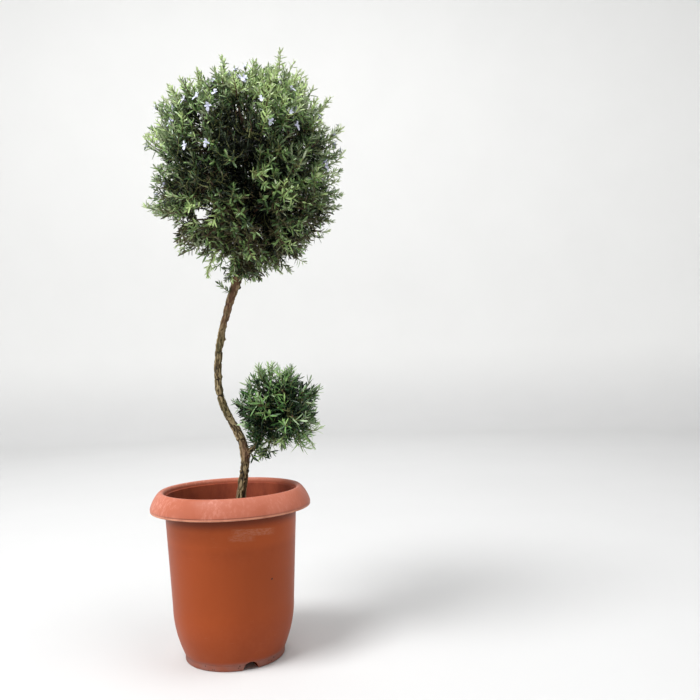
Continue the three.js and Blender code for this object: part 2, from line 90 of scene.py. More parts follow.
class Finish:
    def __init__(self, name, colour, **plain):
        self.material = bpy.data.materials.new(name)
        self.material.use_nodes = True
        self.tree = self.material.node_tree
        self.colour = seen(colour)
        self.set("Base Color", self.colour)
        for socket, value in plain.items():
            self.set(socket.replace("_", " "), value)

    def feed(self, socket, value):
        if isinstance(value, Wire):
            self.tree.links.new(value.socket, socket)
        else:
            socket.default_value = (*value, 1) if socket.type == "RGBA" else value

    def set(self, socket, value):
        self.feed(self.tree.nodes["Principled BSDF"].inputs[socket], value)

    def node(self, kind, settings, sockets, out=0):
        made = self.tree.nodes.new(kind)
        for key, value in settings.items():
            setattr(made, key, value)
        for key, value in sockets.items():
            self.feed(made.inputs[key], value)
        return Wire(self, made.outputs[out])

    @cached_property
    def place(self):
        return self.node("ShaderNodeTexCoord", {}, {}, "Object")

    def axis(self, name):
        return self.node("ShaderNodeSeparateXYZ", {}, {0: self.place}, name)

    def stored(self, name):
        return self.node("ShaderNodeAttribute", {"attribute_name": name}, {}, "Fac")

    # Noise over the piece, drawn out along Z where upright is under 1, and squeezed where over
    def noise(self, scale, detail=2, roughness=0.5, upright=1):
        place = self.place
        if upright != 1:
            place = self.node("ShaderNodeMapping", {}, {"Vector": place, "Scale": (1, 1, upright)})
        sockets = {"Vector": place, "Scale": scale, "Detail": detail, "Roughness": roughness}
        return self.node("ShaderNodeTexNoise", {}, sockets)

    # 0 below low, 1 above high, and smooth between
    def step(self, value, low, high):
        sockets = {"Value": value, "From Min": low, "From Max": high}
        return self.node("ShaderNodeMapRange", {"interpolation_type": "SMOOTHSTEP"}, sockets)

    def patches(self, low, high, *noise, **upright):
        return self.step(self.noise(*noise, **upright), low, high)

    def blend(self, share, first, second):
        return self.node("ShaderNodeMix", {"data_type": "RGBA"}, {0: share, 6: first, 7: second}, 2)

    # One more colour over those before it
    def paint(self, share, colour):
        over = colour if isinstance(colour, Wire) else seen(colour)
        self.colour = self.blend(share, self.colour, over)
        self.set("Base Color", self.colour)

    def bump(self, height, distance, strength=1.0):
        sockets = {"Height": height, "Distance": distance, "Strength": strength}
        self.set("Normal", self.node("ShaderNodeBump", {}, sockets))


# Two tones in noise patches, over a grain that stands up by rise metres
def mottled(name, dark, pale, patch, roughness=0.75, grain=None, rise=0.0003):
    look = Finish(name, dark, Roughness=roughness)
    look.paint(look.patches(0.35, 0.65, *patch), pale)
    if grain:
        look.bump(look.noise(*grain), rise)
    return look


# Each row's length, and each row scaled to length 1
def lengthOf(vectors):
    return np.linalg.norm(vectors, axis=-1)


def unit(vectors):
    return vectors / np.maximum(lengthOf(vectors)[..., None], 1e-9)


# 3 t^2 - 2 t^3 for the share t of the way from low to high
def smoothstep(value, low, high):
    t = np.clip((value - low) / (high - low), 0, 1)
    return t * t * (3 - 2 * t)


# Unit vectors from bearings and elevations in degrees: (cos b cos e, sin b cos e, sin e)
def directionOf(bearing, elevation=0.0):
    b, e = np.radians(bearing), np.radians(elevation)
    return np.stack([np.cos(b) * np.cos(e), np.sin(b) * np.cos(e), np.sin(e) + 0 * b], -1)


# Value noise: random numbers at whole cells, blended by smoothstep. u runs once round in 0 to 1
# and wraps after a whole number of cells, and v runs on for ever.
def valueNoise(u, v, cells, seed):
    rows = 509
    table = np.random.default_rng(seed).random((cells, rows))
    x = u * cells
    i, j = np.floor(x).astype(int), np.floor(v).astype(int)
    fx, fy = smoothstep(x - i, 0, 1), smoothstep(v - j, 0, 1)
    near, far = [
        table[i % cells, row % rows] * (1 - fx) + table[(i + 1) % cells, row % rows] * fx
        for row in (j, j + 1)
    ]
    return near * (1 - fy) + far * fy


# A mesh object in metres from points in millimetres and arrays of faces, riding on the plant
def addPiece(name, points, faces, finishes, slot=None, replaces=(), which=None, crease=38):
    corners = np.concatenate([part.ravel() for part in faces])
    sides = np.concatenate([np.full(len(part), part.shape[1]) for part in faces])
    mesh = bpy.data.meshes.new(name)
    mesh.vertices.add(len(points))
    mesh.vertices.foreach_set("co", (points * mm).astype(np.float32).ravel())
    mesh.loops.add(len(corners))
    mesh.loops.foreach_set("vertex_index", corners.astype(np.int32))
    mesh.polygons.add(len(sides))
    mesh.polygons.foreach_set("loop_start", (np.cumsum(sides) - sides).astype(np.int32))
    for finish in finishes:
        mesh.materials.append(finish.material)
    if which is not None:
        mesh.polygons.foreach_set("material_index", which.astype(np.int32))
    mesh.update(calc_edges=True)
    mesh.shade_smooth()
    mesh.set_sharp_from_angle(angle=math.radians(crease))
    piece = bpy.data.objects.new(name, mesh)
    scene.collection.objects.link(piece)
    if slot:
        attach(piece, "root")
    if replaces:
        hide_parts(*replaces)
    return piece


# Faces of a grid of rows x columns points that closes round its columns
def wrappedGrid(rows, columns):
    i, j = np.meshgrid(np.arange(rows - 1), np.arange(columns), indexing="ij")
    near, onward = i * columns + j, i * columns + (j + 1) % columns
    return np.stack([near, onward, onward + columns, near + columns], -1).reshape(-1, 4)


# A profile of (radius, height) turned once round the Z axis. A first or last radius of 0 is a pole.
def revolve(profile, columns):
    profile = np.asarray(profile, float)
    rings = profile[profile[:, 0] > 0]
    angle = np.linspace(0, 2 * math.pi, columns, endpoint=False)
    r, z = rings[:, :1], rings[:, 1:] + 0 * angle
    points = np.stack([r * np.cos(angle), r * np.sin(angle), z], -1).reshape(-1, 3)
    faces = [wrappedGrid(len(rings), columns)]
    around = np.arange(columns)
    for end, ring in ((0, 0), (-1, (len(rings) - 1) * columns)):
        if profile[end, 0] == 0:
            fan = [ring + around, ring + (around + 1) % columns]
            faces.append(np.stack([np.full(columns, len(points)), *(fan if end else fan[::-1])], -1))
            points = np.vstack([points, [0, 0, profile[end, 1]]])
    return points, faces


# Each corner P of an outline becomes (1 - t)^2 A + 2 t (1 - t) P + t^2 B, where A and B lie a
# given distance before and after it
def roundCorners(outline, distances, steps=5):
    outline = np.asarray(outline, float)
    size = np.asarray(distances, float)[:, None]
    a = outline + unit(np.vstack([outline[:1], outline[:-1]]) - outline) * size
    b = outline + unit(np.vstack([outline[1:], outline[-1:]]) - outline) * size
    t = np.linspace(0, 1, steps)[None, :, None]
    curve = (1 - t) ** 2 * a[:, None] + 2 * t * (1 - t) * outline[:, None] + t * t * b[:, None]
    flat = curve.reshape(-1, 2)
    return flat[lengthOf(np.diff(flat, axis=0, prepend=flat[:1] - 1)) > 1e-6]


# A centripetal Catmull-Rom curve through points, with a given number of steps between each two
def catmullRom(knots, steps):
    p = np.asarray(knots, float)
    p = np.vstack([2 * p[0] - p[1], p, 2 * p[-1] - p[-2]])
    gaps = np.sqrt(lengthOf(np.diff(p, axis=0)))[:, None]
    slope = np.diff(p, axis=0) / gaps
    d0, d1, d2 = gaps[:-2], gaps[1:-1], gaps[2:]
    start = (slope[:-2] - (p[2:-1] - p[:-3]) / (d0 + d1) + slope[1:-1]) * d1
    end = (slope[1:-1] - (p[3:] - p[1:-2]) / (d1 + d2) + slope[2:]) * d1
    t = np.linspace(0, 1, steps, endpoint=False)[None, :, None]
    a, b = p[1:-2, None], p[2:-1, None]
    curve = a * (2 * t**3 - 3 * t**2 + 1) + start[:, None] * (t**3 - 2 * t**2 + t)
    curve = curve + b * (3 * t**2 - 2 * t**3) + end[:, None] * (t**3 - t**2)
    return np.vstack([curve.reshape(-1, 3), p[-2:-1]])


# A path's points spaced evenly along it, a given distance apart
def evenly(path, spacing):
    length = np.concatenate([[0], np.cumsum(lengthOf(np.diff(path, axis=0)))])
    at = np.linspace(0, length[-1], max(int(length[-1] / spacing), 2))
    return np.stack([np.interp(at, length, path[:, axis]) for axis in range(3)], -1)


# Two directions square to each tangent, the first as near as it can be to a reference
def squareTo(along, reference):
    side = unit(reference - along * np.sum(along * reference, -1, keepdims=True))
    return side, np.cross(along, side)


# A direction well away from each given one: the axis that it leans to least
def leastAxis(direction):
    return np.eye(3)[np.argmin(np.abs(direction), axis=-1)]


# n closed tubes: rings centre + r (cos a side + sin a other) along n paths of m points, with
# radii given for each point, or for each point of each ring, and a point at each end
def tubes(paths, radii, sides, reference=None):
    n, m, _ = paths.shape
    if reference is None:
        reference = leastAxis(unit(paths[:, -1] - paths[:, 0]))[:, None]
    side, other = squareTo(unit(np.gradient(paths, axis=1)), reference)
    angle = (2 * math.pi * np.arange(sides) / sides)[:, None]
    ring = np.cos(angle) * side[:, :, None] + np.sin(angle) * other[:, :, None]
    radii = radii if radii.ndim == 3 else radii[..., None]
    skin = paths[:, :, None] + radii[..., None] * ring
    points = np.concatenate([skin.reshape(n, m * sides, 3), paths[:, :1], paths[:, -1:]], 1)
    base = (np.arange(n) * (m * sides + 2))[:, None, None]
    around, last = np.arange(sides), (m - 1) * sides
    onward = (around + 1) % sides
    first = np.stack([np.full(sides, m * sides), onward, around], -1)
    final = np.stack([np.full(sides, m * sides + 1), last + around, last + onward], -1)
    fans = base + np.vstack([first, final])
    return points.reshape(-1, 3), [(base + wrappedGrid(m, sides)).reshape(-1, 4), fans.reshape(-1, 3)]


# (1 - t)^2 a + 2 t (1 - t) b + t^2 c and its direction, for n curves and m shares of each
def bezier(a, b, c, t):
    t = np.broadcast_to(t, (len(a), np.shape(t)[-1]))[..., None]
    a, b, c = a[:, None], b[:, None], c[:, None]
    point = (1 - t) ** 2 * a + 2 * t * (1 - t) * b + t * t * c
    return point, unit((1 - t) * (b - a) + t * (c - b))


# n slim closed blades: across their length three points to a ring, left edge, ridge and right
# edge, at base + length (s along - bend s^2 top). Their upper faces have the first finish and
# their flat undersides the second.
def blades(base, along, top, length, width, bend, shape):
    s, count = np.array(shape.stations)[None, :, None], len(shape.stations)
    length, width, bend = length[:, None, None], width[:, None, None], bend[:, None, None]
    spine = base[:, None] + length * (s * along[:, None] - bend * s * s * top[:, None])
    half = 0.5 * width * np.array(shape.widths)[None, :, None]
    out, cup = half * np.cross(top, along)[:, None], half * shape.cup * top[:, None]
    ridge = spine + half * shape.ridge * top[:, None]
    rings = np.stack([spine + out + cup, ridge, spine - out + cup], 2)
    tip = base + length[:, 0] * (along - bend[:, 0] * top)
    points = np.concatenate([rings.reshape(len(base), -1, 3), tip[:, None]], 1)
    start = (np.arange(len(base)) * (3 * count + 1))[:, None, None]
    tipCaps = 3 * count - 3 + np.array([[0, 1, 3], [1, 2, 3], [2, 0, 3]])
    caps = start + np.vstack([[[0, 2, 1]], tipCaps])
    which = [np.tile([0, 0, 1], (count - 1) * len(base)), np.tile([1, 0, 0, 1], len(base))]
    faces = [(start + wrappedGrid(count, 3)).reshape(-1, 4), caps.reshape(-1, 3)]
    return points.reshape(-1, 3), faces, np.concatenate(which)


# Several meshes as one
def joined(parts):
    shift, points, faces = 0, [], {}
    for partPoints, partFaces in parts:
        points.append(partPoints)
        for face in partFaces:
            faces.setdefault(face.shape[1], []).append(face + shift)
        shift += len(partPoints)
    return np.vstack(points), [np.vstack(same) for same in faces.values()]


print("frame loaded and tools ready")


# The pot, turned on a wheel of its own sizes: a foot, a belly that is part of a parabola, a
# straight neck and a hollow lip that falls as a quarter of a flattened ellipse
pot = Values(
    height=218.7, wall=2.3, columns=200,
    lipRadius=105, lipBottom=193.5, lipEdge=3.5, lipCrest=5.3, lipPower=1.35,
    bead=1.25, beadInset=1.35, overBead=[104.55, 196.4],
    mouthRadius=86.7,
    mouth=[[91.6, 218.65], [88.4, 218.2], [86.7, 215.6], [86.2, 212.9], [84.9, 212.1]],
    mouthRounding=[0, 1.6, 1.4, 0.5, 0.6, 0],
    neckRadius=86, neckTop=211, innerTop=196,
    bellyRadius=79.2, bellyHeight=70,
    footRadius=64.8, footHeight=8.5, footStep=0.6, footRounding=[0, 1.8, 0.3, 0],
    floorTop=3, floorInset=6,
    channels=3, channelTurn=-73.4, channelRadius=10, channelStart=36,
    drainRadius=4, drainPlace=43,
)
potTones = Values(
    body=(163, 72, 27), bodyDeep=(151, 64, 22), bodyPale=(172, 83, 42), bodyNeck=(196, 90, 34),
    bodyMiddle=(155, 68, 24), bodyLow=(132, 56, 22), underLip=(88, 35, 16),
    lip=(198, 121, 99), lipFront=(168, 97, 76), lipPale=(233, 173, 158), bead=(226, 158, 128),
    inside=(164, 80, 54), stain=(136, 63, 44), haze=(196, 138, 112), dust=(148, 104, 94),
    earth=(54, 34, 24),
)


# Radius of the belly: its widest less (widest - foot) times the square of the share left to climb
def bellyCurve(inset, steps):
    z = np.linspace(pot.footHeight + 0.4, pot.bellyHeight, steps)
    fall = ((pot.bellyHeight - z) / (pot.bellyHeight - pot.footHeight)) ** 2
    narrow = pot.bellyRadius - pot.footRadius - pot.footStep
    return np.stack([pot.bellyRadius - narrow * fall - inset, z], -1)


# From the crest out to the lip's edge, between two angles in degrees: width sin(angle)^(2 / power)
# out and height cos(angle)^(2 / power) up
def lipCurve(inset, low, high, steps):
    angle = np.radians(np.linspace(low, high, steps))
    width = pot.lipRadius - pot.mouthRadius - pot.lipCrest - inset
    height = pot.height - pot.lipBottom - pot.lipEdge - inset
    r = pot.mouthRadius + pot.lipCrest + width * np.sin(angle) ** (2 / pot.lipPower)
    z = pot.lipBottom + pot.lipEdge + height * np.cos(angle) ** (2 / pot.lipPower)
    return np.stack([r, z], -1)


# Radius of the inner wall at a height, less an inset
def innerRadius(height, inset=0):
    slope = (pot.neckRadius - pot.bellyRadius) / (pot.lipBottom - pot.bellyHeight)
    return pot.bellyRadius - pot.wall - inset + slope * (height - pot.bellyHeight)


# The wall's section from the middle of the underside, up outside, over the lip and down inside
def potProfile():
    footTop = [[pot.footRadius, 8.2], [pot.footRadius + 0.5, 8.7]]
    foot = roundCorners([[0, 0], [pot.footRadius, 0], *footTop], pot.footRounding)
    angle = np.radians(np.linspace(-180, 25, 12))
    beadMiddle = [pot.lipRadius - pot.beadInset, pot.lipBottom + pot.bead]
    bead = beadMiddle + pot.bead * np.stack([np.cos(angle), np.sin(angle)], -1)
    mouth = roundCorners([*pot.mouth, [innerRadius(pot.innerTop), pot.innerTop]], pot.mouthRounding)
    up = np.linspace(pot.bellyHeight + 8, pot.neckTop, 14)
    down = np.linspace(186, pot.bellyHeight + 8, 8)
    return np.vstack([
        foot,
        bellyCurve(0, 22),
        np.stack([innerRadius(up, -pot.wall), up], -1),
        lipCurve(pot.wall, 12, 89, 12),
        bead,
        [pot.overBead],
        lipCurve(0, 86, 0, 30),
        mouth,
        np.stack([innerRadius(down), down], -1),
        bellyCurve(pot.wall, 12)[::-1],
        [[pot.footRadius - pot.floorInset, pot.floorTop], [0, pot.floorTop]],
    ])


# Bearings of the drainage channels
def channelTurns():
    return pot.channelTurn + 360 / pot.channels * np.arange(pot.channels)


# Prisms along the drainage channels: an arch of a given radius over a flat underside
def archPrisms(radius, near, far, bottom):
    angle = np.linspace(0, math.pi, 25)
    across = np.concatenate([radius * np.cos(angle), [-radius, radius]])
    height = np.concatenate([radius * np.sin(angle), [bottom, bottom]])
    out, over = [directionOf(channelTurns() + turn)[:, None, None] for turn in (0, 90)]
    reach = np.array([near, far])[None, :, None, None]
    points = out * reach + over * across[:, None] + upward * height[:, None]
    ring = len(across)
    start = (np.arange(pot.channels) * 2 * ring)[:, None, None]
    caps = np.stack([np.arange(ring)[::-1], np.arange(ring) + ring])
    walls = start + wrappedGrid(2, ring)
    return points.reshape(-1, 3), [walls.reshape(-1, 4), (start + caps).reshape(-1, ring)]


def drains():
    foot = pot.drainPlace * directionOf(channelTurns())
    paths = np.stack([foot + upward * 2, foot + upward * 25], 1)
    return tubes(paths, np.full((pot.channels, 2), float(pot.drainRadius)), 24)


# Cuts or joins a piece with loose shapes, which are then gone
def combine(piece, operation, shape):
    tool = addPiece("tool", *shape, [])
    change = piece.modifiers.new("combine", "BOOLEAN")
    change.operation, change.solver, change.object = operation, "MANIFOLD", tool
    bpy.context.view_layer.update()
    result = bpy.data.meshes.new_from_object(piece.evaluated_get(bpy.context.evaluated_depsgraph_get()))
    piece.modifiers.clear()
    piece.data = result
    bpy.data.objects.remove(tool)


# Heights and distances here are metres, as the object's own coordinates are
def potFinish():
    look = Finish("pot_plastic", potTones.body, Specular_IOR_Level=0.2)
    across, depth, height = [look.axis(name) for name in "XYZ"]
    radius = (across * across + depth * depth) ** 0.5
    fine = look.noise(150, 3, 0.6)
    look.paint(look.patches(0.35, 0.7, 11, 3), potTones.bodyDeep)
    look.paint(look.step(fine, 0.35, 0.75) * 0.2, potTones.bodyPale)
    # Painted light: a paler band round the neck, where the light falls brightest
    look.paint(look.step(abs(height - 0.168), 0.020, 0.008) * 0.28, potTones.bodyNeck)
    # Painted shadow: a dark band under the lip, where the lip's shadow falls
    kept = look.step(height, 0.174, 0.192) * look.step(height, 0.1985, 0.1965)
    look.paint(kept * 0.85, potTones.underLip)
    # The lip has faded and is darker in front. Fine upright pale streaks are partly where water ran over it
    # and partly painted highlight, strongest towards the lit left
    onLip = look.step(height, 0.190, 0.198)
    streaks = look.noise(300, 4, 0.7, upright=0.3)
    faded = look.patches(0.30, 0.66, 16, 3)
    look.paint(onLip * (faded * 0.45 + 0.4), potTones.lip)
    inFront = look.step(abs(across + 0.004), 0.085, 0.02) * look.step(depth, 0, -0.06)
    look.paint(onLip * inFront * 0.35, potTones.lipFront)
    # Painted highlight: the streaks grow paler towards the left, where the light comes from
    litLeft = look.step(across, 0.03, -0.07) * 0.7 + 0.3
    look.paint(onLip * look.step(streaks, 0.47, 0.66) * litLeft * faded * 0.42, potTones.lipPale)
    # Inside: darker, dusty and stained by splashed earth up to the step under the mouth
    wallMiddle = height * 0.0551 + 0.07395
    inside = look.step(radius - wallMiddle, 0.0003, -0.0003) * look.step(height, 0.100, 0.104)
    underMouth = look.step(radius, 0.0872, 0.0867) * look.step(height, 0.206, 0.209)
    inside = inside + underMouth * (1 - inside)
    mouth = look.step(height, 0.2126, 0.2150)
    stain = look.patches(0.35, 0.7, 48, 4, 0.65, upright=0.4)
    inner = look.blend(stain * (1 - mouth), seen(potTones.inside), seen(potTones.stain))
    look.paint(inside * (1 - mouth * 0.55), inner)
    # A hazy rubbed patch on the front of the neck, in two bands, and fine hairlines
    slant = height + across * 0.085
    high = look.step(abs(slant - 0.1764), 0.0054, 0.0030) * look.step(abs(across - 0.026), 0.030, 0.018)
    low = look.step(abs(slant - 0.1686), 0.0046, 0.0024) * look.step(abs(across - 0.011), 0.019, 0.010)
    rubbed = look.patches(0.40, 0.64, 210, 4, 0.72, upright=3)
    haze = (high * 0.9 + low * 0.7) * (rubbed * 0.75 + 0.25) * look.step(depth, -0.05, -0.07)
    look.paint(haze * 0.5, potTones.haze)
    look.paint(look.patches(0.62, 0.72, 70, 5, 0.65, upright=9) * 0.14, potTones.haze)
    # Painted shade round the belly and towards the ground, with dust and specks of earth on the foot, and
    # one speck higher up
    look.paint(look.step(abs(height - 0.1), 0.06, 0.01) * 0.9, potTones.bodyMiddle)
    look.paint(look.step(height, 0.085, 0.015) * 0.12, potTones.bodyLow)
    dusty = look.patches(0.32, 0.62, 34, 4, 0.6) * 0.5 + 0.5
    footDust = look.step(height, 0.0130, 0.0075) * dusty * look.step(radius, 0.060, 0.0625)
    look.paint(footDust * 0.9, potTones.dust)
    cells = look.node("ShaderNodeTexVoronoi", {}, {"Vector": look.place, "Scale": 210}, "Distance")
    specks = look.step(cells, 0.26, 0.16) * look.patches(0.47, 0.56, 70) * look.step(height, 0.020, 0.004)
    nick = ((across - 0.0475) ** 2 + (height - 0.1117) ** 2) ** 0.5 + look.noise(400, 1) * 0.0012
    earth = specks + look.step(nick, 0.0021, 0.0014) * look.step(depth, 0, -0.02)
    look.paint(earth * 0.9, potTones.earth)
    # The rolled edge under the lip is painted pale, as a highlight line where it catches the light
    bead = look.step(height, 0.1966, 0.1954) * look.step(radius, 0.1022, 0.1030)
    look.paint(bead * (look.patches(0.3, 0.6, 60, 3) * 0.3 + 0.35), potTones.bead)
    dull = haze * 0.3 + footDust * 0.3 + inside * 0.2 + onLip * faded * 0.12
    look.set("Roughness", 0.36 + fine * 0.12 + dull)
    grain = look.noise(1100) * 0.25 + look.noise(55)
    look.bump(grain + streaks * onLip * 0.35 + earth * 1.5, 0.00014, 0.6)
    return look


potPiece = addPiece("pot_shell", *revolve(potProfile(), pot.columns), [potFinish()], "pot", ["pot"])
vault = archPrisms(pot.channelRadius + pot.wall, pot.channelStart - pot.wall, pot.footRadius - 2.5, 1.0)
combine(potPiece, "UNION", vault)
combine(potPiece, "DIFFERENCE", archPrisms(pot.channelRadius, pot.channelStart, 95, -6))
combine(potPiece, "DIFFERENCE", drains())
potPiece.data.shade_smooth()
potPiece.data.set_sharp_from_angle(angle=math.radians(30))
print("pot made")


# The potting mix: a lumpy top, crumbs of bark, earth and a few pale grains
soil = Values(
    top=184, bottom=16, gap=0.3, rings=90, columns=180, lump=3.2, mound=3, moundRadius=20,
    # piece: finish, number, smallest and largest half size, shape, and tones
    crumbs={
        "soil_crumbs": ["crumb_earth", 1500, 1.0, 3.4, [1, 1, 1], (52, 37, 27), (92, 68, 50)],
        "bark_crumbs": ["crumb_bark", 260, 1.6, 5.2, [1.5, 0.9, 0.45], (98, 66, 44), (140, 100, 68)],
        "pale_grains": ["crumb_pale", 130, 0.8, 1.9, [1, 1, 1], (196, 188, 172), (226, 220, 206)],
    },
)
rng = np.random.default_rng(11)


# Height of the mix over the plan: its level, two sizes of lump, and a low mound at the stem
def soilHeight(x, y):
    u = x / 400 + 0.5
    lumps = valueNoise(u, y / 16 + 40, 26, 1) + 0.5 * valueNoise(u, y / 6 + 60, 66, 2) - 0.75
    fine = valueNoise(u, y / 2.4 + 120, 170, 3) - 0.5
    mound = np.exp(-((np.hypot(x - 9, y) / soil.moundRadius) ** 2))
    return soil.top + soil.lump * lumps + 1.3 * fine + soil.mound * mound


def makeSoil():
    heights = np.linspace(soil.bottom, soil.top - 3, 12)
    belly = bellyCurve(pot.wall + soil.gap, 40)
    radii = np.interp(heights, belly[:, 1], belly[:, 0], right=0)
    radii = np.where(radii > 0, radii, innerRadius(heights, soil.gap))
    topRadii = np.linspace(innerRadius(soil.top, soil.gap) - 0.4, 0, soil.rings)
    top = np.stack([topRadii, 0 * topRadii + soil.top], -1)
    profile = np.vstack([[[0, soil.bottom]], np.stack([radii, heights], -1), top])
    points, faces = revolve(profile, soil.columns)
    onTop = points[:, 2] > soil.top - 1
    points[onTop, 2] = soilHeight(points[onTop, 0], points[onTop, 1])
    return points, faces


# A rounded block of 20 faces, for crumbs: the corners of an icosahedron
def lumpShape():
    golden = (1 + math.sqrt(5)) / 2
    a = np.array([[-1, golden, 0], [1, golden, 0], [-1, -golden, 0], [1, -golden, 0]], float)
    corners = unit(np.vstack([a, np.roll(a, 1, 1), np.roll(a, 2, 1)]))
    near = lengthOf(corners[:, None] - corners) < 1.2
    i, j, k = np.meshgrid(*[np.arange(12)] * 3, indexing="ij")
    found = (i < j) & (j < k) & near[i, j] & near[j, k] & near[i, k]
    faces = np.stack([i[found], j[found], k[found]], -1)
    a, b, c = [corners[faces[:, corner]] for corner in range(3)]
    inwards = np.sum(np.cross(b - a, c - a) * a, -1) < 0
    faces[inwards] = faces[inwards][:, ::-1]
    return corners, faces


# Copies of the block, each with its own half axes and bumps, turned by a quaternion (w, q):
# v + 2 q x (q x v + w v)
def lumps(places, sizes):
    corners, faces = lumpShape()
    n = len(places)
    shape = corners[None] * (1 + 0.25 * (rng.random((n, 12, 1)) - 0.5)) * sizes[:, None]
    turn = unit(rng.normal(size=(n, 4)))[:, None]
    w, q = turn[..., :1], turn[..., 1:]
    points = shape + 2 * np.cross(q, np.cross(q, shape) + w * shape) + places[:, None]
    return points.reshape(-1, 3), [(faces[None] + (np.arange(n) * 12)[:, None, None]).reshape(-1, 3)]


# Places over the mix, and half sizes of which most are near the smallest
def scatterCrumbs(count, low, high):
    radius = (innerRadius(soil.top) - 4) * np.sqrt(rng.random(count))
    angle = 2 * math.pi * rng.random(count)
    x, y = radius * np.cos(angle), radius * np.sin(angle)
    sizes = (low + (high - low) * rng.random((count, 1)) ** 3) * (0.55 + 0.6 * rng.random((count, 3)))
    return np.stack([x, y, soilHeight(x, y) + 0.3 * sizes.min(1)], -1), sizes


earth = mottled("potting_earth", (46, 33, 24), (84, 62, 45), (120, 4, 0.7), 0.95, (700, 3, 0.7), 0.0006)
addPiece("potting_mix", *makeSoil(), [earth], "soil", ["potting_soil"], crease=60)
for name, (label, count, low, high, shape, dark, pale) in soil.crumbs.items():
    places, sizes = scatterCrumbs(count, low, high)
    finish = mottled(label, dark, pale, (260, 3, 0.6), 0.9, (1200,))
    addPiece(name, *lumps(places, sizes * shape), [finish], "soil")
print("potting mix made")


# The stem: its centreline, its radius by height, and the knots where side shoots were cut off
trunk = Values(
    path=[
        [9, 0, 170], [14, 0, 212], [20.4, 1, 262], [13, 3, 288], [-5, 4, 325], [-12, 2, 358],
        [-8.6, 0, 408], [6, 0, 464], [20.5, 0, 505], [26, 1, 552], [29, 2, 604],
    ],
    radius=5.4, waist=4.2, swell=1.3, tip=3.4, flare=3.2, flareHeight=13, soilTop=184,
    columns=72, rowSpacing=0.6, strips=13, relief=1.9, shreds=150, shredHeights=[192, 497],
    # height, bearing, how far it stands out, and its half width
    knots=[
        [492, 185, 3.4, 3.0], [487, -10, 2.8, 2.6], [497, 60, 2.2, 3.4], [417, 0, 1.9, 2.0],
        [366, 10, 1.7, 2.2], [352, 190, 0.9, 4.0], [325, 200, 0.9, 5.0], [262, -20, 2.2, 5.5],
        [262, 120, 1.2, 6.0], [240, -20, 2.0, 2.4], [226, 160, 1.0, 3.5],
    ],
)
sideBough = Values(
    path=[[20.4, 1, 260], [27, 0, 266], [36, -1, 273], [45, -2, 284]],
    radius=3.6, tip=2.2, columns=36, strips=9, relief=1.1,
)
stemLine = catmullRom(trunk.path, 40)


# The flare at the soil fades as e^(-height / flareHeight), and the waist, swell and tip are smooth steps
def stemRadius(height):
    flare = trunk.flare * np.exp(-np.maximum(height - trunk.soilTop, 0) / trunk.flareHeight)
    waist = smoothstep(height, 268, 318) * (trunk.radius - trunk.waist)
    swell = smoothstep(height, 440, 500) * trunk.swell
    tip = smoothstep(height, 510, 600) * (trunk.waist + trunk.swell - trunk.tip)
    return trunk.radius + flare - waist + swell - tip


# Where the stem's centreline crosses a height
def stemPoint(height):
    return np.stack([np.interp(height, stemLine[:, 2], stemLine[:, axis]) for axis in range(3)], -1)


# Bark relief from 0 in the cracks to 1 on the flakes. Cracks run along the limb where a noise
# drawn out along it crosses its middle value, and short flakes of finer noise lie between them.
def barkRelief(around, along, strips, seed):
    turned = around + along * 0.0016
    wander = 0.06 * (valueNoise(turned, along / 9, 4, seed) - 0.5)
    body = valueNoise(turned + wander, along / 11, strips, seed + 1)
    flake = valueNoise(turned - wander, along / 5.5, strips + 5, seed + 2)
    chip = valueNoise(turned + 2 * wander, along / 2.6, 2 * strips + 3, seed + 3)
    height = smoothstep(abs(body - 0.5), 0.0, 0.13) * (0.32 + 0.5 * smoothstep(flake, 0.35, 0.62))
    return np.clip(height + 0.34 * (chip - 0.45), 0, 1)


# One limb with bark: the relief lifts the skin off its round radius
def barkTube(path, radii, columns, strips, relief, seed, swelling=0):
    around = (np.arange(columns) / columns)[None]
    along = (np.arange(len(path)) * np.linalg.norm(path[1] - path[0]))[:, None]
    height = barkRelief(around, along + 0 * around, strips, seed)
    skin = radii[:, None] + relief * (height - 0.38) + swelling
    tint = valueNoise(around, along / 30 + 7, 4, seed + 9)
    tube = tubes(path[None], skin[None], columns, reference=np.array([1.0, 0, 0]))
    return tube, *[np.append(values.ravel(), [0.4, 0.4]) for values in (height, tint)]


def barkFinish():
    look = Finish("bark", (38, 29, 18), Roughness=0.85)
    relief, tint, height = look.stored("relief"), look.stored("tint"), look.axis("Z")
    strands = look.noise(1100, 4, 0.65, upright=0.14)
    look.paint(look.step(relief, 0.10, 0.55), (106, 87, 54))
    look.paint(look.step(relief, 0.5, 0.9) * 0.9, (170, 152, 114))
    # Greener in the middle of the stem, redder towards the soil and the crown
    middle = look.step(height, 0.25, 0.31) * look.step(height, 0.46, 0.40)
    look.paint(look.step(tint, 0.35, 0.7) * middle * 0.5, (94, 90, 52))
    look.paint(look.step(tint, 0.3, 0.7) * (1 - middle) * 0.6, (124, 84, 64))
    look.paint(look.step(strands, 0.50, 0.68) * 0.5, (60, 46, 32))
    look.bump(strands + look.noise(1500) * 0.3, 0.0004, 0.9)
    return look


def addBark(name, tube, relief, tint, replaces):
    piece = addPiece(name, *tube, [bark], "bark", replaces, crease=70)
    for label, values in (("relief", relief), ("tint", tint)):
        stored = piece.data.attributes.new(label, "FLOAT", "POINT")
        stored.data.foreach_set("value", values.astype(np.float32))


# Bulges of the knots on the stem: height times e^-(distance / half width)^2 over its skin
def knotSwelling(path, columns):
    bearing = 360 * np.arange(columns) / columns
    swelling = np.zeros((len(path), columns))
    for height, turn, out, width in trunk.knots:
        rise = (path[:, 2] - height)[:, None]
        sweep = np.radians((bearing - turn + 180) % 360 - 180) * stemRadius(height)
        swelling += out * np.exp(-((rise / width) ** 2) - (sweep / width) ** 2)
    return swelling


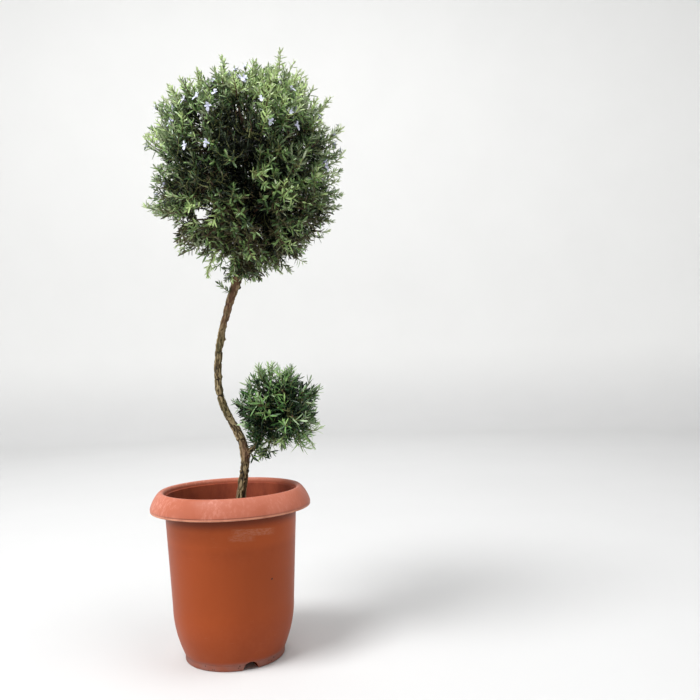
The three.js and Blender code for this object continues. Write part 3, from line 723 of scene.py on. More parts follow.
# Thin shreds of bark, stuck down at one end and lifting at the other
def barkShreds():
    count = trunk.shreds
    low, high = trunk.shredHeights
    height = low + (high - low) * rng.random(count)
    out = directionOf(360 * rng.random(count))
    base = stemPoint(height) + out * (stemRadius(height) + 0.25)[:, None]
    drift = unit(stemPoint(height + 6) - stemPoint(height - 6))
    flip = np.where(rng.random(count) < 0.7, 1.0, -1.0)[:, None]
    along = unit(drift * flip + 0.12 * rng.normal(size=(count, 3)))
    top, _ = squareTo(along, out)
    ranges = (4, 7), (0.8, 0.9), (0.02, 0.07)
    length, width, lift = [least + more * rng.random(count) for least, more in ranges]
    shape = Values(stations=[0, 0.3, 0.6, 0.85], widths=[0.7, 1, 0.85, 0.5], ridge=0.3, cup=0)
    return blades(base, along, top, length, width, -lift, shape)


bark = barkFinish()
stemPath = evenly(stemLine[stemLine[:, 2] > 178], trunk.rowSpacing)
swell = knotSwelling(stemPath, trunk.columns)
stemRadii = stemRadius(stemPath[:, 2])
stemBark = barkTube(stemPath, stemRadii, trunk.columns, trunk.strips, trunk.relief, 20, swell)
addBark("trunk_bark", *stemBark, ["trunk"])
boughPath = evenly(catmullRom(sideBough.path, 20), trunk.rowSpacing)
boughRadii = np.linspace(sideBough.radius, sideBough.tip, len(boughPath))
boughBark = barkTube(boughPath, boughRadii, sideBough.columns, sideBough.strips, sideBough.relief, 40)
addBark("side_bough_bark", *boughBark, ["side_bough"])
shredFinishes = [
    Finish("bark_shred", (134, 116, 84), Roughness=0.9),
    Finish("bark_shred_under", (84, 66, 46), Roughness=0.95),
]
points, faces, which = barkShreds()
addPiece("bark_shreds", points, faces, shredFinishes, "bark", which=which)
print("stem made")


# Two clipped balls of foliage. half is their half axes out to the usual leaf tips; leaders are
# long shoots by bearing across the front, lean to the back and reach. outline is how far the
# usual leaf tips reach across the front view, every 15 degrees from the right. young are places
# of bright shoots, hollows open places in the outer growth (middle and half axes), and shade places
# where the growth is painted darker, as painted shade with some older growth (middle, half axes and
# how many tones darker), all from the ball's own middle.
crown = Values(
    name="crown", seed=3, middle=[35, 0, 641], half=[120, 120, 134], shoulder=0.07,
    shoots=100, whorls=2, rootShare=0.66, inset=5, outer=16, inner=10,
    leaf=1.05, spacing=5.4, unruly=0.27, dome=0.09, tuft=0.03,
    tone=3.35, leaderTone=0.1, youngTone=2.2, worn=0.9, tint=[0, 0, 0],
    leaders=[
        [13, 4, 141], [22, -8, 144], [38, -4, 158], [54, 6, 164], [72, 0, 177], [84, -12, 147],
        [102, 0, 163], [118, -14, 146], [126, 4, 159], [145, 0, 153], [158, 8, 144], [197, 5, 143],
        [227, -6, 148], [247, -8, 158], [260, -12, 159], [275, 6, 151], [287, -8, 143],
        [332, -6, 137], [344, 8, 138], [60, -70, 137], [60, 55, 148], [140, 66, 148],
    ],
    outline=[
        131, 132, 131, 147, 169, 159, 138, 150, 154, 157, 141, 144,
        126, 148, 123, 152, 131, 128, 163, 141, 158, 137, 133, 134,
    ],
    young=[
        [-10, -99, -62], [1, -69, -101], [20, -53, -110],
        [-76, -48, -78], [10, -110, -32], [24, -106, -35],
    ],
    hollows=[
        [[-6, -108, -16], [22, 34, 26]], [[30, -80, -88], [20, 28, 9]], [[-56, -77, -70], [14, 40, 10]],
    ],
    shade=[
        [[-6, -105, 10], [56, 60, 56], 1.5], [[20, -70, -80], [60, 60, 18], 0.8],
        [[-42, -40, -116], [40, 60, 28], 0.9], [[-8, -62, -102], [46, 50, 22], 0.5],
    ],
)
sideBall = Values(
    name="ball", seed=8, middle=[67, -2, 321], half=[54, 54, 56], shoulder=0,
    shoots=21, whorls=1, rootShare=0.45, inset=7, outer=11, inner=6,
    leaf=1.5, spacing=6.2, unruly=0.5, dome=0.02, tuft=0.02,
    tone=3.05, leaderTone=-0.5, youngTone=1.0, worn=0.15, tint=[-8, 2, -2],
    leaders=[[27, 4, 68], [71, -6, 64], [112, 6, 69], [240, -12, 72], [310, 4, 77], [338, -6, 64]],
    outline=[
        54, 56, 63, 64, 59, 59, 66, 65, 62, 60, 63, 66,
        63, 60, 57, 52, 48, 49, 54, 60, 50, 59, 58, 60,
    ],
    young=[[-23, -31, 33], [-8, -49, 7], [27, -30, 31]],
    hollows=[],
    shade=[],
)
growth = Values(
    # Rings of the crown's masses: elevation, number, first bearing, and where their boughs leave the stem
    rings=[[86, 1, 0, 604], [38, 5, 54, 586], [-8, 5, 18, 554], [-54, 3, 0, 524]],
    forkSpread=26, coreMiddle=0.62,
    boughShare=0.6, boughRadius=2.8, boughTip=1.6, boughColumns=16, boughStrips=5, boughRelief=0.6,
    shootStart=25, whorlSpacing=7, lift=0.38, upperLift=0.5, pulls=5, pullStep=0.11,
    margin=0.4, overlap=-9, fan=2.3, leaderFan=0.05, leaderSide=4,
    depth=0.22, innerDepth=[0.16, 0.74], setBack=[24, 12],
    branchRadius=1.5, twigRadius=1.2, twigTip=0.5, leaderTip=0.6, shootRadius=0.8, shootTip=0.4,
)
# Sky shows through the crown along the line from the camera through this place
skyGap = Values(place=[-28, 0, 583], radius=5.4)
cameraPlace = np.array([0, -1049.94, 376.37])


# The repeatable stream state = state * 48271 mod (2^31 - 1), as numbers from 0 to 1
def seeded(seed, count):
    states = [seed * 7919 + 17]
    for _ in range(count):
        states.append(states[-1] * 48271 % 2147483647)
    return np.array(states[1:]) / 2147483647


# Tips spread evenly over a ball by the golden angle, and then its leaders
def tipsOver(ball):
    count = ball.shoots
    k = np.arange(count)
    draws = seeded(ball.seed, 2 * count).reshape(count, 2)
    z = 1 - 2 * (k + 0.5) / count
    bearing = k * goldenAngle + 0.25 * (draws[:, 0] - 0.5)
    level = np.sqrt(1 - z * z)
    direction = np.stack([level * np.cos(bearing), level * np.sin(bearing), z], -1)
    reach = (0.97 + 0.11 * draws[:, 1]) * (1 + ball.shoulder * np.where(z > 0, 2 * z * level, 0) ** 2)
    across, lean, far = np.array(ball.leaders, float).T
    across, lean = np.radians(across), np.radians(lean)
    leading = unit(np.stack([np.cos(across), np.tan(lean), np.sin(across)], -1))
    reach = np.append(reach, far / lengthOf(leading * ball.half))
    return np.vstack([direction, leading]), reach, np.arange(len(reach)) >= count


# Bearings and middles of the crown's masses, and the heights where their boughs fork
def crownMasses():
    bearings, elevations, forks = [], [], []
    for elevation, count, turn, fork in growth.rings:
        i = np.arange(count)
        bearings.append(turn + 360 / count * i)
        elevations.append(np.full(count, float(elevation)))
        forks.append(fork + growth.forkSpread * ((i * 2) % count / count - 0.5))
    bearing = np.concatenate(bearings)
    middle = directionOf(bearing, np.concatenate(elevations)) * crown.half * growth.coreMiddle
    return bearing, middle, np.concatenate(forks)


# How far inside its own space each point lies: a space ends halfway to each other mass
def roomAt(points, middles, own):
    if len(middles) == 1:
        return np.full(len(points), np.inf)
    across = middles - middles[own][:, None]
    distance = lengthOf(across)
    room = distance / 2 - np.einsum("nd,nmd->nm", points - middles[own], unit(across))
    return np.where(distance > 1e-6, room, np.inf).min(1)


# How far each point lies from the line of sight through the gap
def offSight(points):
    line = unit(np.array(skyGap.place) - cameraPlace)
    out = points - cameraPlace
    return lengthOf(out - np.sum(out * line, -1, keepdims=True) * line)


# How far each point lies from the stem's skin
def offStem(points):
    height = points[..., 2]
    aside = lengthOf((points - stemPoint(height))[..., :2])
    return np.hypot(aside, np.maximum(height - trunk.path[-1][2], 0)) - stemRadius(height)


# The usual reach of a direction as a share of the ellipsoid's: the outline's own share where the
# direction lies across the view, fading to 1 towards the viewer and the back
def reachAt(direction, ball):
    b = np.arctan2(direction[..., 2], direction[..., 0]) % (2 * math.pi)
    wanted = np.interp(np.degrees(b), np.arange(0, 361, 15), ball.outline + ball.outline[:1])
    level = 1 / np.sqrt((np.cos(b) / ball.half[0]) ** 2 + (np.sin(b) / ball.half[2]) ** 2)
    return 1 + (wanted / level - 1) * (1 - direction[..., 1] ** 2)


# The source's shoots, each with its mass: root and tip from the ball's middle. One that would
# leave its mass's space is pulled towards the mass's middle in small steps, or left out.
def sourceShoots(ball, middles):
    half = np.array(ball.half, float)
    direction, reach, isLeader = tipsOver(ball)
    own = lengthOf((direction * half * reach[:, None])[:, None] - middles).argmin(1)
    pull = unit(middles[own])
    length = growth.shootStart + growth.whorlSpacing * (ball.whorls + isLeader)
    settled = np.zeros(len(direction), bool)
    tip, root = np.zeros_like(direction), np.zeros_like(direction)
    for attempt in range(growth.pulls):
        aim = unit(direction + pull * growth.pullStep * attempt)
        trialTip = aim * half * reach[:, None]
        grow = unit(unit(trialTip) + upward * growth.lift)
        trialRoot = (trialTip - grow * length[:, None] + aim * half * ball.rootShare) / 2
        fits = np.minimum(roomAt(trialTip, middles, own), roomAt(trialRoot, middles, own)) > growth.margin
        taken = fits & ~settled
        tip[taken], root[taken] = trialTip[taken], trialRoot[taken]
        settled |= fits
    return tip[settled], root[settled], own[settled], isLeader[settled], reach[settled]


# How a shoot grows at its tip: outwards and up, steeper on the upper part of the ball
def growthAt(shell, unruly, rng):
    lift = growth.lift + growth.upperLift * smoothstep(unit(shell)[..., 2], -0.6, 0.3)
    return unit(unit(shell) + upward * lift[..., None] + unruly * rng.normal(size=shell.shape))


# Finer shoots carried on from each of the source's. Their tips lie round its own by the golden
# angle, over a disc as wide as its share of the ball. The outer ones end near the outline, and
# the inner ones, which are older, lie deeper. A leader is its own straight shoot with a few more.
def finerShoots(ball, middles, rng):
    half, middle = np.array(ball.half, float), np.array(ball.middle, float)
    tip, root, own, isLeader, reach = sourceShoots(ball, middles)
    many = np.where(isLeader, growth.leaderSide, ball.outer + ball.inner)
    spray = np.repeat(np.arange(len(tip)), many)
    count = len(spray)
    j = np.arange(count) - np.repeat(np.cumsum(many) - many, many)
    leading = isLeader[spray]
    inner = ~leading & (j >= ball.outer)
    aim = unit(tip / half)
    side, other = squareTo(aim, leastAxis(aim))
    turn = (j * goldenAngle + 2 * math.pi * rng.random(len(tip))[spray])[:, None]
    share = np.where(inner, (j - ball.outer) / ball.inner, j / ball.outer)
    wide = np.where(leading, growth.leaderFan, growth.fan / math.sqrt(ball.shoots))
    spread = wide * np.sqrt(np.clip(share, 0, 1)) * (0.9 + 0.3 * rng.random(count))
    fan = np.cos(turn) * side[spray] + np.sin(turn) * other[spray]
    fineAim = unit(aim[spray] + spread[:, None] * fan)
    # A spray is a tuft: its middle stands out and its rim falls back, with notches between tufts
    tuft = ball.tuft * rng.normal(size=len(tip))
    usual = reachAt(fineAim, ball) * (1 + 0.05 * (rng.random(count) - 0.6) + tuft[spray])
    usual *= 1 - ball.dome * np.where(inner, 0, share) ** 1.5
    low, high = growth.innerDepth
    deep = low + (high - low) * rng.random(count)
    usual *= 1 - np.where(inner, deep, growth.depth * rng.random(count) ** 1.5)
    straight = reach[spray] - (reach[spray] - 0.96) * np.clip(j / 4, 0, 1)
    fineTip = fineAim * half * np.where(leading, straight, usual)[:, None]
    grow = growthAt(fineTip / half, ball.unruly, rng)
    fineTip = fineTip - grow * ball.inset
    bend = tip[spray] - 0.5 * lengthOf(tip - root)[spray, None] * grow
    along = np.where(leading, 0.1 * j, np.where(inner, 0, 0.5 * rng.random(count)))
    fineRoot = bezier(root[spray], bend, tip[spray], along[:, None])[0][:, 0]
    # An inner shoot starts on the branch that leads to its spray, nearer the stem than its tip
    near, more = growth.setBack
    within = unit(fineTip) * (lengthOf(fineTip) - near - more * rng.random(count))[:, None]
    fineRoot = np.where(inner[:, None], 0.5 * within + 0.35 * fineRoot, fineRoot)
    chord = lengthOf(fineTip - fineRoot)[:, None]
    fineBend = fineTip - grow * chord * (0.42 + 0.2 * rng.random((count, 1)))
    shoots = Values(
        root=fineRoot + middle,
        bend=fineBend + middle,
        tip=fineTip + middle,
        place=fineTip,
        first=j == 0,
        inner=inner,
        spray=spray,
        own=own[spray],
        depth=1 - lengthOf(fineTip / half) / reachAt(fineAim, ball),
        leader=leading & (j == 0),
    )
    kept = leading | (roomAt(fineTip, middles, shoots.own) > growth.overlap)
    halfway, _ = bezier(shoots.root, shoots.bend, shoots.tip, np.linspace(0, 1, 5))
    kept &= (offSight(halfway) > skyGap.radius + 2.5).all(1)
    kept &= (offStem(halfway) > 3.5).all(1)
    for place, size in ball.hollows:
        kept &= (lengthOf((fineTip - place) / size) > 1) | inner
    return pick(shoots, kept)


# Branches from a mass's own stem to the roots of its source shoots
def branchesTo(shoots, ball, middles, stemStarts, rng):
    first = pick(shoots, shoots.first)
    share = (0.15 + 0.85 * rng.random(len(first.root)))[:, None]
    start = stemStarts[first.own] * (1 - share) + (middles[first.own] + ball.middle) * share
    outward = unit(unit(first.tip - first.root) + unit(first.root - start))
    bend = first.root - outward * lengthOf(first.root - start)[:, None] * 0.45
    return start, bend, first.root


# Tubes along curves, thinning evenly from one radius to another
def taperedTwigs(a, b, c, rows, sides, thick, thin):
    paths, _ = bezier(a, b, c, np.linspace(0, 1, rows))
    return tubes(paths, np.broadcast_to(np.linspace(thick, thin, rows), (len(a), rows)), sides)


# Narrow leaves in opposite pairs, each pair square to the last. Towards the tip they are
# shorter, closer and more upright: length and lean rise as 1 - e^(-pair / rate).
leaf = Values(length=11, width=2.8, pairs=9, bare=0.1, uprightLean=24, fullLean=62, rate=2.0, bend=0.09)
leafShape = Values(stations=[0, 0.32, 0.72], widths=[0.55, 1, 0.86], ridge=0.40, cup=-0.1)
innerLeafShape = Values(stations=[0, 0.5], widths=[0.6, 1], ridge=0.35, cup=0)


def needlesOn(shoots, rng, scale, spacing):
    a, b, c = shoots.root, shoots.bend, shoots.tip
    n, m = len(a), leaf.pairs
    every = (n, m, 2)
    k = np.arange(m)
    fromTip = spacing * (0.35 * k + 0.65 * k * k / (k + 3)) + 1.0
    length = 0.5 * (lengthOf(c - a) + lengthOf(b - a) + lengthOf(c - b))
    share = 1 - fromTip / length[:, None]
    point, along = bezier(a, b, c, np.clip(share, 0, 1))
    side, other = squareTo(along, leastAxis(unit(c - a))[:, None])
    turn = k[None, :, None] * math.pi / 2 + 2 * math.pi * rng.random((n, 1, 1)) + np.array([0, math.pi])
    turn = (turn + 0.2 * rng.normal(size=every))[..., None]
    grown = 1 - np.exp(-k / leaf.rate)[:, None]
    lean = leaf.uprightLean + (leaf.fullLean - leaf.uprightLean) * grown
    lean = np.radians(lean + 11 * rng.normal(size=every))[..., None]
    out = np.cos(turn) * side[:, :, None] + np.sin(turn) * other[:, :, None]
    axis = np.broadcast_to(along[:, :, None], out.shape)
    blade = np.cos(lean) * axis + np.sin(lean) * out
    top = np.sin(lean) * axis - np.cos(lean) * out
    tilt = 0.35 * rng.normal(size=(*every, 1))
    top = unit(np.cos(tilt) * top + np.sin(tilt) * np.cross(blade, top))
    vigour = (0.85 + 0.3 * rng.random((n, 1, 1))) * scale
    long = leaf.length * vigour * (0.5 + 0.5 * grown) * (0.75 + 0.42 * rng.random(every))
    wide = leaf.width * scale ** -0.3 * (0.75 + 0.25 * grown) * (0.85 + 0.3 * rng.random(every))
    bend = leaf.bend * (0.4 + grown) * (rng.random(every) * 3 - 1)
    here = (share > leaf.bare)[..., None] & (rng.random(every) > 0.05)
    base = point[:, :, None] + out * 0.4
    here &= offSight(base + blade * long[..., None] * 0.7) > skyGap.radius
    here &= offStem(base + blade * long[..., None] * 0.8) > 0.5
    shoot, pair, _ = np.nonzero(here)
    needles = Values(base=base, along=blade, top=top, length=long, width=wide, bend=bend)
    return pick(needles, here), shoot, pair


# Leaf tones from the oldest to the youngest: name, upper side, underside and gloss, which grows
# from dull to waxy
leafTones = [
    ["old", (11, 18, 8), (38, 46, 32), 0.15],
    ["worn", (72, 66, 42), (108, 104, 80), 0.25],
    ["deep", (32, 50, 23), (88, 100, 72), 0.4],
    ["mid", (68, 97, 48), (146, 160, 122), 0.5],
    ["light", (124, 156, 90), (190, 202, 166), 0.5],
    ["young", (178, 204, 130), (214, 224, 182), 0.5],
]


def leafFinish(name, colour, tint, gloss):
    return Finish(name, np.array(colour) + tint, Roughness=0.38, Specular_IOR_Level=gloss)


def leafFinishesOf(ball):
    return {
        tone: [
            leafFinish(f"{ball.name}_leaf_{tone}", upper, ball.tint, gloss),
            leafFinish(f"{ball.name}_leaf_{tone}_under", under, ball.tint, gloss),
        ]
        for tone, upper, under, gloss in leafTones
    }


leafFinishes = {ball.name: leafFinishesOf(ball) for ball in (crown, sideBall)}


# A shoot's tone: lighter further out, partly younger outer growth and partly painted shade on the deeper
# shoots, and lighter high up and at the very bottom as painted light; the same way through a spray, with
# some shoots a step off it
def shootTones(shoots, ball, rng):
    z = shoots.place[:, 2] / ball.half[2]
    sprays = rng.normal(size=shoots.spray.max() + 1)
    # Painted light: lighter high on the ball and at its bottom
    high = 0.45 * z + 1.0 * smoothstep(z, 0.34, 0.88) + 0.5 * smoothstep(-z, 0.3, 0.8)
    score = ball.tone - 9 * (shoots.depth - 0.07) + high + ball.leaderTone * shoots.leader
    score += 0.45 * sprays[shoots.spray] + 0.6 * rng.normal(size=len(score))
    for place in ball.young:
        score += ball.youngTone * np.exp(-((lengthOf(shoots.place - place) / 9) ** 2))
    # Painted shade: the shade places darken the tone
    for place, size, drop in ball.shade:
        score -= drop * np.exp(-lengthOf((shoots.place - place) / size) ** 2)
    # Inner shoots are held dark, partly older growth and partly painted shade
    return np.where(shoots.inner, np.minimum(score, 1.9), score)


# Tone numbers from scores: 0 is old, 2 and up run from deep to young, and 1 is worn
def toneOf(score, worn):
    tone = np.clip(np.round(score), 1, 5).astype(int)
    tone = np.where(tone == 1, 0, tone)
    return np.where(worn & (tone > 0) & (tone < 4), 1, tone)


def addLeaves(name, needles, tones, finishes, replaces, shape=leafShape):
    for tone, (label, *_) in enumerate(leafTones):
        chosen = tones == tone
        if chosen.any():
            points, faces, which = blades(shape=shape, **pick(needles, chosen))
            addPiece(f"{name}_{label}", points, faces, finishes[label], "foliage", replaces, which)


# A ball's shoots, needles and twigs. Low on it, some of the dark needles have worn to olive brown.
def growBall(ball, middles, stemStarts, replaces, seed):
    rng = np.random.default_rng(seed)
    shoots = finerShoots(ball, middles, rng)
    scores = shootTones(shoots, ball, rng)
    needles, shoot, pair = needlesOn(shoots, rng, ball.leaf, ball.spacing)
    lower = smoothstep(shoots.place[shoot, 2] / ball.half[2], 0.1, -0.9)
    worn = (rng.random(len(scores)) < 0.8)[shoot] & (rng.random(len(pair)) < ball.worn * lower)
    score = scores[shoot] + 0.25 - 0.27 * np.maximum(pair - 2, 0) + 0.45 * rng.normal(size=len(pair))
    tone, inner = toneOf(score, worn), shoots.inner[shoot]
    for label, part, shape in (("leaves", ~inner, leafShape), ("inner_leaves", inner, innerLeafShape)):
        some = pick(needles, part), tone[part], leafFinishes[ball.name]
        addLeaves(f"{ball.name}_{label}", *some, replaces, shape)
    # Which shoots, with how many rings and sides, and their radius at the root and the tip
    kinds = [
        [shoots.first & ~shoots.leader, 6, 5, growth.twigRadius, growth.twigTip],
        [~shoots.first & ~shoots.leader, 5, 4, growth.shootRadius, growth.shootTip],
        [shoots.leader, 6, 5, growth.twigRadius, growth.leaderTip],
    ]
    ends = shoots.root, shoots.bend, shoots.tip
    woody, green, strong = [taperedTwigs(*[end[rows] for end in ends], *sizes) for rows, *sizes in kinds]
    routes = branchesTo(shoots, ball, middles, stemStarts, rng)
    branches = taperedTwigs(*routes, 7, 6, growth.branchRadius, growth.twigRadius)
    addPiece(ball.name + "_branches", *joined([branches, woody]), [woodyFinish], "bark", replaces)
    addPiece(ball.name + "_green_twigs", *joined([green, strong]), [greenFinish], "foliage", replaces)
    print(ball.name, "grown:", len(scores), "shoots,", len(pair), "needles,", inner.sum(), "of them inside")
    return shoots


woodyFinish = mottled("twig_bark", (78, 58, 44), (112, 88, 66), (220, 3))
greenFinish = mottled("twig_green", (102, 108, 62), (138, 142, 90), (220, 3))


# Boughs from the stem to each of the crown's masses, and the masses' own stems beyond them
def crownLimbs(bearing, middles, forks):
    limbs, ends = [], []
    for i, (turn, mass, fork) in enumerate(zip(bearing, middles, forks)):
        start = stemPoint(fork) + directionOf(turn) * stemRadius(fork) * (0.7 if i else 0)
        goal = mass + crown.middle
        share = growth.boughShare
        while roomAt((start + (goal - start) * share - crown.middle)[None], middles, np.array([i]))[0] < 6:
            share += 0.04
        end = start + (goal - start) * share
        bow = start + (end - start) * 0.5 + upward * np.linalg.norm(end - start) * 0.06
        path = evenly(catmullRom([start, bow, end - unit(goal - start) * 4, end, goal], 12), 1.5)
        radii = np.linspace(growth.boughRadius, growth.boughTip, len(path))
        skin = growth.boughColumns, growth.boughStrips, growth.boughRelief
        limbs.append(barkTube(path, radii, *skin, 60 + i))
        ends.append(end)
    made, reliefs, tints = zip(*limbs)
    return joined(made), np.concatenate(reliefs), np.concatenate(tints), np.array(ends)


bearings, massMiddles, forks = crownMasses()
masses = [f"crown_mass_{i + 1:02d}" for i in range(len(massMiddles))]
*limbs, boughEnds = crownLimbs(bearings, massMiddles, forks)
addBark("crown_boughs_bark", *limbs, [name.replace("mass", "bough") for name in masses])
crownShoots = growBall(crown, massMiddles, boughEnds, masses, 5)
growBall(sideBall, np.zeros((1, 3)), np.array([sideBough.path[-1]], float), ["side_ball"], 6)


# Small sprigs by root and tip: fresh leaves on the stem under the crown, and older ones along
# the side bough
stemSprig = [[[9, -2, 477], [-8, -8, 490]]]
boughSprigs = [
    [[27, -2, 265], [32, -12, 257]], [[31, -2, 268], [47, -18, 258]], [[36, -3, 272], [58, -22, 264]],
    [[40, -4, 277], [30, -26, 296]], [[33, 2, 270], [46, 20, 261]], [[34, -3, 272], [27, -13, 288]],
    [[39, -4, 277], [32, -20, 280]], [[42, -3.5, 281], [26, -10, 305]], [[41, 1, 280], [27, 16, 295]],
]
sprig = Values(sag=2, spacing=4.0, thick=0.9, thin=0.5)
# A skirt round the stem where it enters the crown: heights, and distances from the stem
skirt = Values(count=26, root=[514, 532], tip=[491, 516], out=[12, 33], seed=10)


def skirtSprigs():
    rng = np.random.default_rng(skirt.seed)
    out = directionOf(np.degrees(goldenAngle) * np.arange(skirt.count))
    out = out[out[:, 0] > -0.8]  # bare on the left, over the stem's own sprig
    rootHeight, tipHeight, far = [
        low + (high - low) * rng.random(len(out)) for low, high in (skirt.root, skirt.tip, skirt.out)
    ]
    root = stemPoint(rootHeight) + out * stemRadius(rootHeight)[:, None] * 0.8
    return np.stack([root, stemPoint(tipHeight) + out * far[:, None]], 1)


def growSprigs(name, sprigs, scale, tones, finishes, replaces, seed):
    rng = np.random.default_rng(seed)
    root, tip = np.array(sprigs, float).transpose(1, 0, 2)
    twig = Values(root=root, bend=(root + tip) / 2 - upward * sprig.sag, tip=tip)
    needles, _, pair = needlesOn(twig, rng, scale, sprig.spacing)
    tone = np.where(pair > 3, tones[0], np.array(tones)[rng.integers(len(tones), size=len(pair))])
    addLeaves(name + "_leaves", needles, tone, finishes, replaces)
    tube = taperedTwigs(twig.root, twig.bend, twig.tip, 6, 5, sprig.thick, sprig.thin)
    addPiece(name + "_twigs", *tube, [greenFinish], "foliage", replaces)


growSprigs("stem_sprig", stemSprig, 0.9, [3, 4], leafFinishes["crown"], ["stem_sprig"], 7)
growSprigs("bough_sprigs", boughSprigs, 1.2, [2, 2, 3], leafFinishes["ball"], ["side_ball"], 8)
growSprigs("skirt", skirtSprigs(), 1.0, [1, 0, 2, 3], leafFinishes["crown"], masses[-3:], 9)
print("foliage grown")


# Pale blossoms: two upper petals, two at the sides and a broad lower one, round a short tube.
# inFront are places from the crown's middle, each taken by the nearest shoot.
blossom = Values(
    inFront=[
        [-76, -42, 82], [-37, -84, 76], [-7, -88, 80], [11, -100, 59], [20, -108, 34],
        [-42, -106, 9], [-72, -88, 9], [-90, -61, 37], [-14, -36, 119], [50, -67, 86],
        [91, -55, 46], [-120, -9, -13], [-44, -92, 60], [62, -80, 40], [-16, -42, 126],
    ],
    others=64, tube=4.6,
    # Each petal's turn, opening in degrees, length, width and bend
    petals=[
        [-24, 42, 5.2, 3.0, 0.1], [24, 42, 5.2, 3.0, 0.1], [-100, 66, 4.6, 2.6, 0.2],
        [100, 66, 4.6, 2.6, 0.2], [180, 74, 6.6, 5.0, 0.34],
    ],
)
petalShape = Values(stations=[0, 0.3, 0.62, 0.9], widths=[0.35, 0.8, 1, 0.62], ridge=0.12, cup=0.22)
sepalShape = Values(stations=[0, 0.4, 0.75], widths=[0.7, 1, 0.8], ridge=0.5, cup=0.1)


def blossomPlaces(rng):
    shoots, half = crownShoots, np.array(crown.half, float)
    apart = lengthOf(shoots.place - np.array(blossom.inFront)[:, None]) + 1000 * shoots.inner
    nearest = apart.argmin(1)
    _, y, z = (shoots.place / half).T
    open_ = ~shoots.inner & (z > -0.25) & ((y > -0.35) | (z > 0.3))
    others = rng.choice(np.flatnonzero(open_), blossom.others, replace=False)
    on = np.concatenate([nearest, others])
    share = np.where(np.arange(len(on)) < len(nearest), 0.86, 0.74 + 0.18 * rng.random(len(on)))
    place, along = bezier(shoots.root[on], shoots.bend[on], shoots.tip[on], share[:, None])
    outward = unit(place[:, 0] - crown.middle)
    facing = unit(outward + 0.35 * along[:, 0] + 0.3 * rng.normal(size=outward.shape))
    return place[:, 0] + facing * 1.6, facing


# Blades round each blossom's axis, from n x 5 arrays
def ringOfBlades(*arrays, shape):
    return blades(*[values.reshape(-1, *values.shape[2:]) for values in arrays], shape)


def makeBlossoms():
    rng = np.random.default_rng(9)
    place, facing = blossomPlaces(rng)
    up, side = squareTo(facing, upward + 0.25 * rng.normal(size=facing.shape))
    count = len(place)
    turn, spread, length, width, bend = np.array(blossom.petals).T
    turn, spread = [np.radians(angle) + 0.12 * rng.normal(size=(count, 5)) for angle in (turn, spread)]
    size = 0.85 + 0.3 * rng.random((count, 1))
    around = lambda angle: np.cos(angle)[..., None] * up[:, None] + np.sin(angle)[..., None] * side[:, None]
    out, axis = around(turn), np.broadcast_to(facing[:, None], (count, 5, 3))
    cosine, sine = np.cos(spread)[..., None], np.sin(spread)[..., None]
    along, top = cosine * axis + sine * out, sine * axis - cosine * out
    base = place[:, None] + axis * blossom.tube * 0.8 + out * 0.5
    full = lambda value: np.broadcast_to(value, (count, 5))
    petals = ringOfBlades(base, along, top, length * size, width * size, full(bend), shape=petalShape)
    tubePath = np.stack([place + facing * blossom.tube * share for share in (0, 0.5, 1)], 1)
    throat = tubes(tubePath, np.tile([0.8, 1.1, 1.5], (count, 1)), 8)
    out = around(np.arange(5)[None] * 2 * math.pi / 5)
    sepals = ringOfBlades(
        place[:, None] - axis * 1.2 + out * 0.7, unit(axis + 0.2 * out), unit(0.2 * axis - out),
        full(4.2), full(1.7), full(0.05), shape=sepalShape,
    )
    return petals, throat, sepals


(*petals, which), throat, (*sepals, _) = makeBlossoms()
petalTones = {
    "petal_upper": (226, 227, 241),
    "petal_under": (212, 215, 235),
    "petal_throat": (208, 208, 238),
}
upper, under, tube = [
    Finish(name, tone, Roughness=0.55, Sheen_Weight=0.2) for name, tone in petalTones.items()
]
calyx = mottled("calyx", (92, 92, 84), (124, 124, 104), (220, 3))
addPiece("blossom_petals", *petals, [upper, under], "foliage", which=which)
addPiece("blossom_throats", *throat, [tube], "foliage")
addPiece("blossom_calyces", *sepals, [calyx], "foliage")
print("blossoms made")


# A plain pale floor that curves up into a wall all round, far enough out for every view
stage = Values(floor=3200, curve=900, wall=4200)


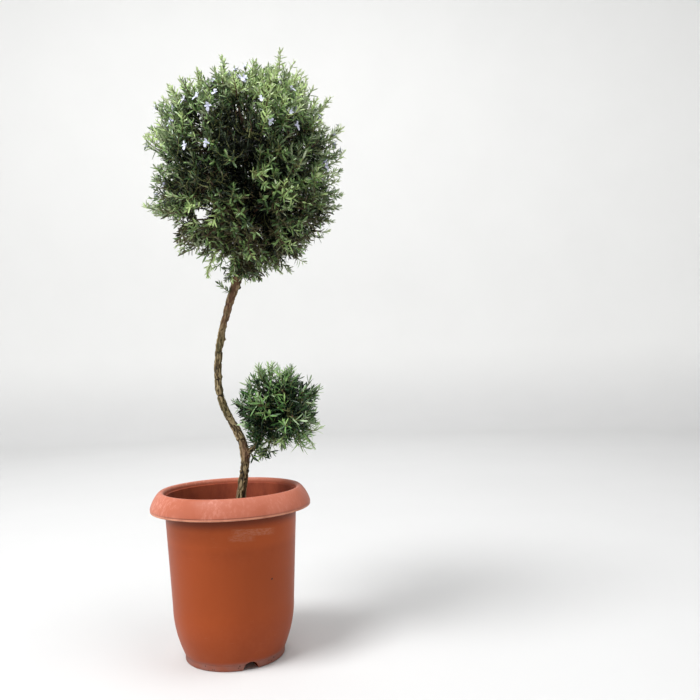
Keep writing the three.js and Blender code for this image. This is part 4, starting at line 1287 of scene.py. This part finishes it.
def makeStage():
    angle = np.linspace(0, math.pi / 2, 24)
    out, rise = stage.floor + stage.curve * np.sin(angle), stage.curve * (1 - np.cos(angle))
    edge = [[stage.floor + stage.curve, stage.wall]]
    profile = np.vstack([[[0, 0], [400, 0], [1400, 0]], np.stack([out, rise], -1), edge])
    points, faces = revolve(profile, 96)
    return points, [part[:, ::-1] for part in faces]


def stageFinish():
    look = Finish("studio_paper", (214, 214, 214), Roughness=0.9, Specular_IOR_Level=0.1)
    grain = look.noise(3)
    look.paint(grain, (218, 218, 218))
    wall = look.blend(grain, seen((231, 231, 230)), seen((235, 235, 234)))
    look.paint(look.step(look.axis("Z"), 0.02, 0.5), wall)
    return look


backdrop = addPiece("studio_floor", *makeStage(), [stageFinish()])

# Round lamps: place and aim in metres, size in metres and power in watts
lights = {
    "key": [(-1.1, -0.85, 2.8), (0.02, 0, 0.45), 1.3, 86],
    "fill": [(-2.3, -0.5, 1.1), (0.0, 0, 0.25), 1.2, 12],
    "top": [(0.6, -0.5, 2.7), (0.05, 0, 0.4), 1.2, 23],
    "wash": [(0.0, 1.4, 2.9), (0.3, 4.2, 1.0), 1.6, 48],
}
for name, (place, aim, size, power) in lights.items():
    lamp = bpy.data.lights.new(name, "AREA")
    lamp.shape, lamp.size, lamp.energy = "DISK", size, power
    holder = bpy.data.objects.new(name, lamp)
    holder.location = place
    holder.rotation_euler = (Vector(aim) - Vector(place)).to_track_quat("-Z", "Y").to_euler()
    scene.collection.objects.link(holder)

world = bpy.data.worlds.new("studio")
world.use_nodes = True
world.node_tree.nodes["Background"].inputs["Color"].default_value = (0.97, 0.99, 1.0, 1)
world.node_tree.nodes["Background"].inputs["Strength"].default_value = 0.17
scene.world = world
scene.view_settings.view_transform = "Standard"

# The camera stands in front and a little left, looks slightly up and leans by two degrees
camera = Values(yaw=-9.026, pitch=91.077, roll=-1.955, lens=40, sensor=36)
lensData = bpy.data.cameras.new("camera")
lensData.lens, lensData.sensor_width = camera.lens, camera.sensor
eye = bpy.data.objects.new("camera", lensData)
pose = Matrix.Translation(Vector(cameraPlace * mm))
for angle, axis in ((camera.yaw, "Z"), (camera.pitch, "X"), (camera.roll, "Z")):
    pose = pose @ Matrix.Rotation(math.radians(angle), 4, axis)
eye.matrix_world = pose
scene.collection.objects.link(eye)
scene.camera = eye
print("stage, lights and camera ready")
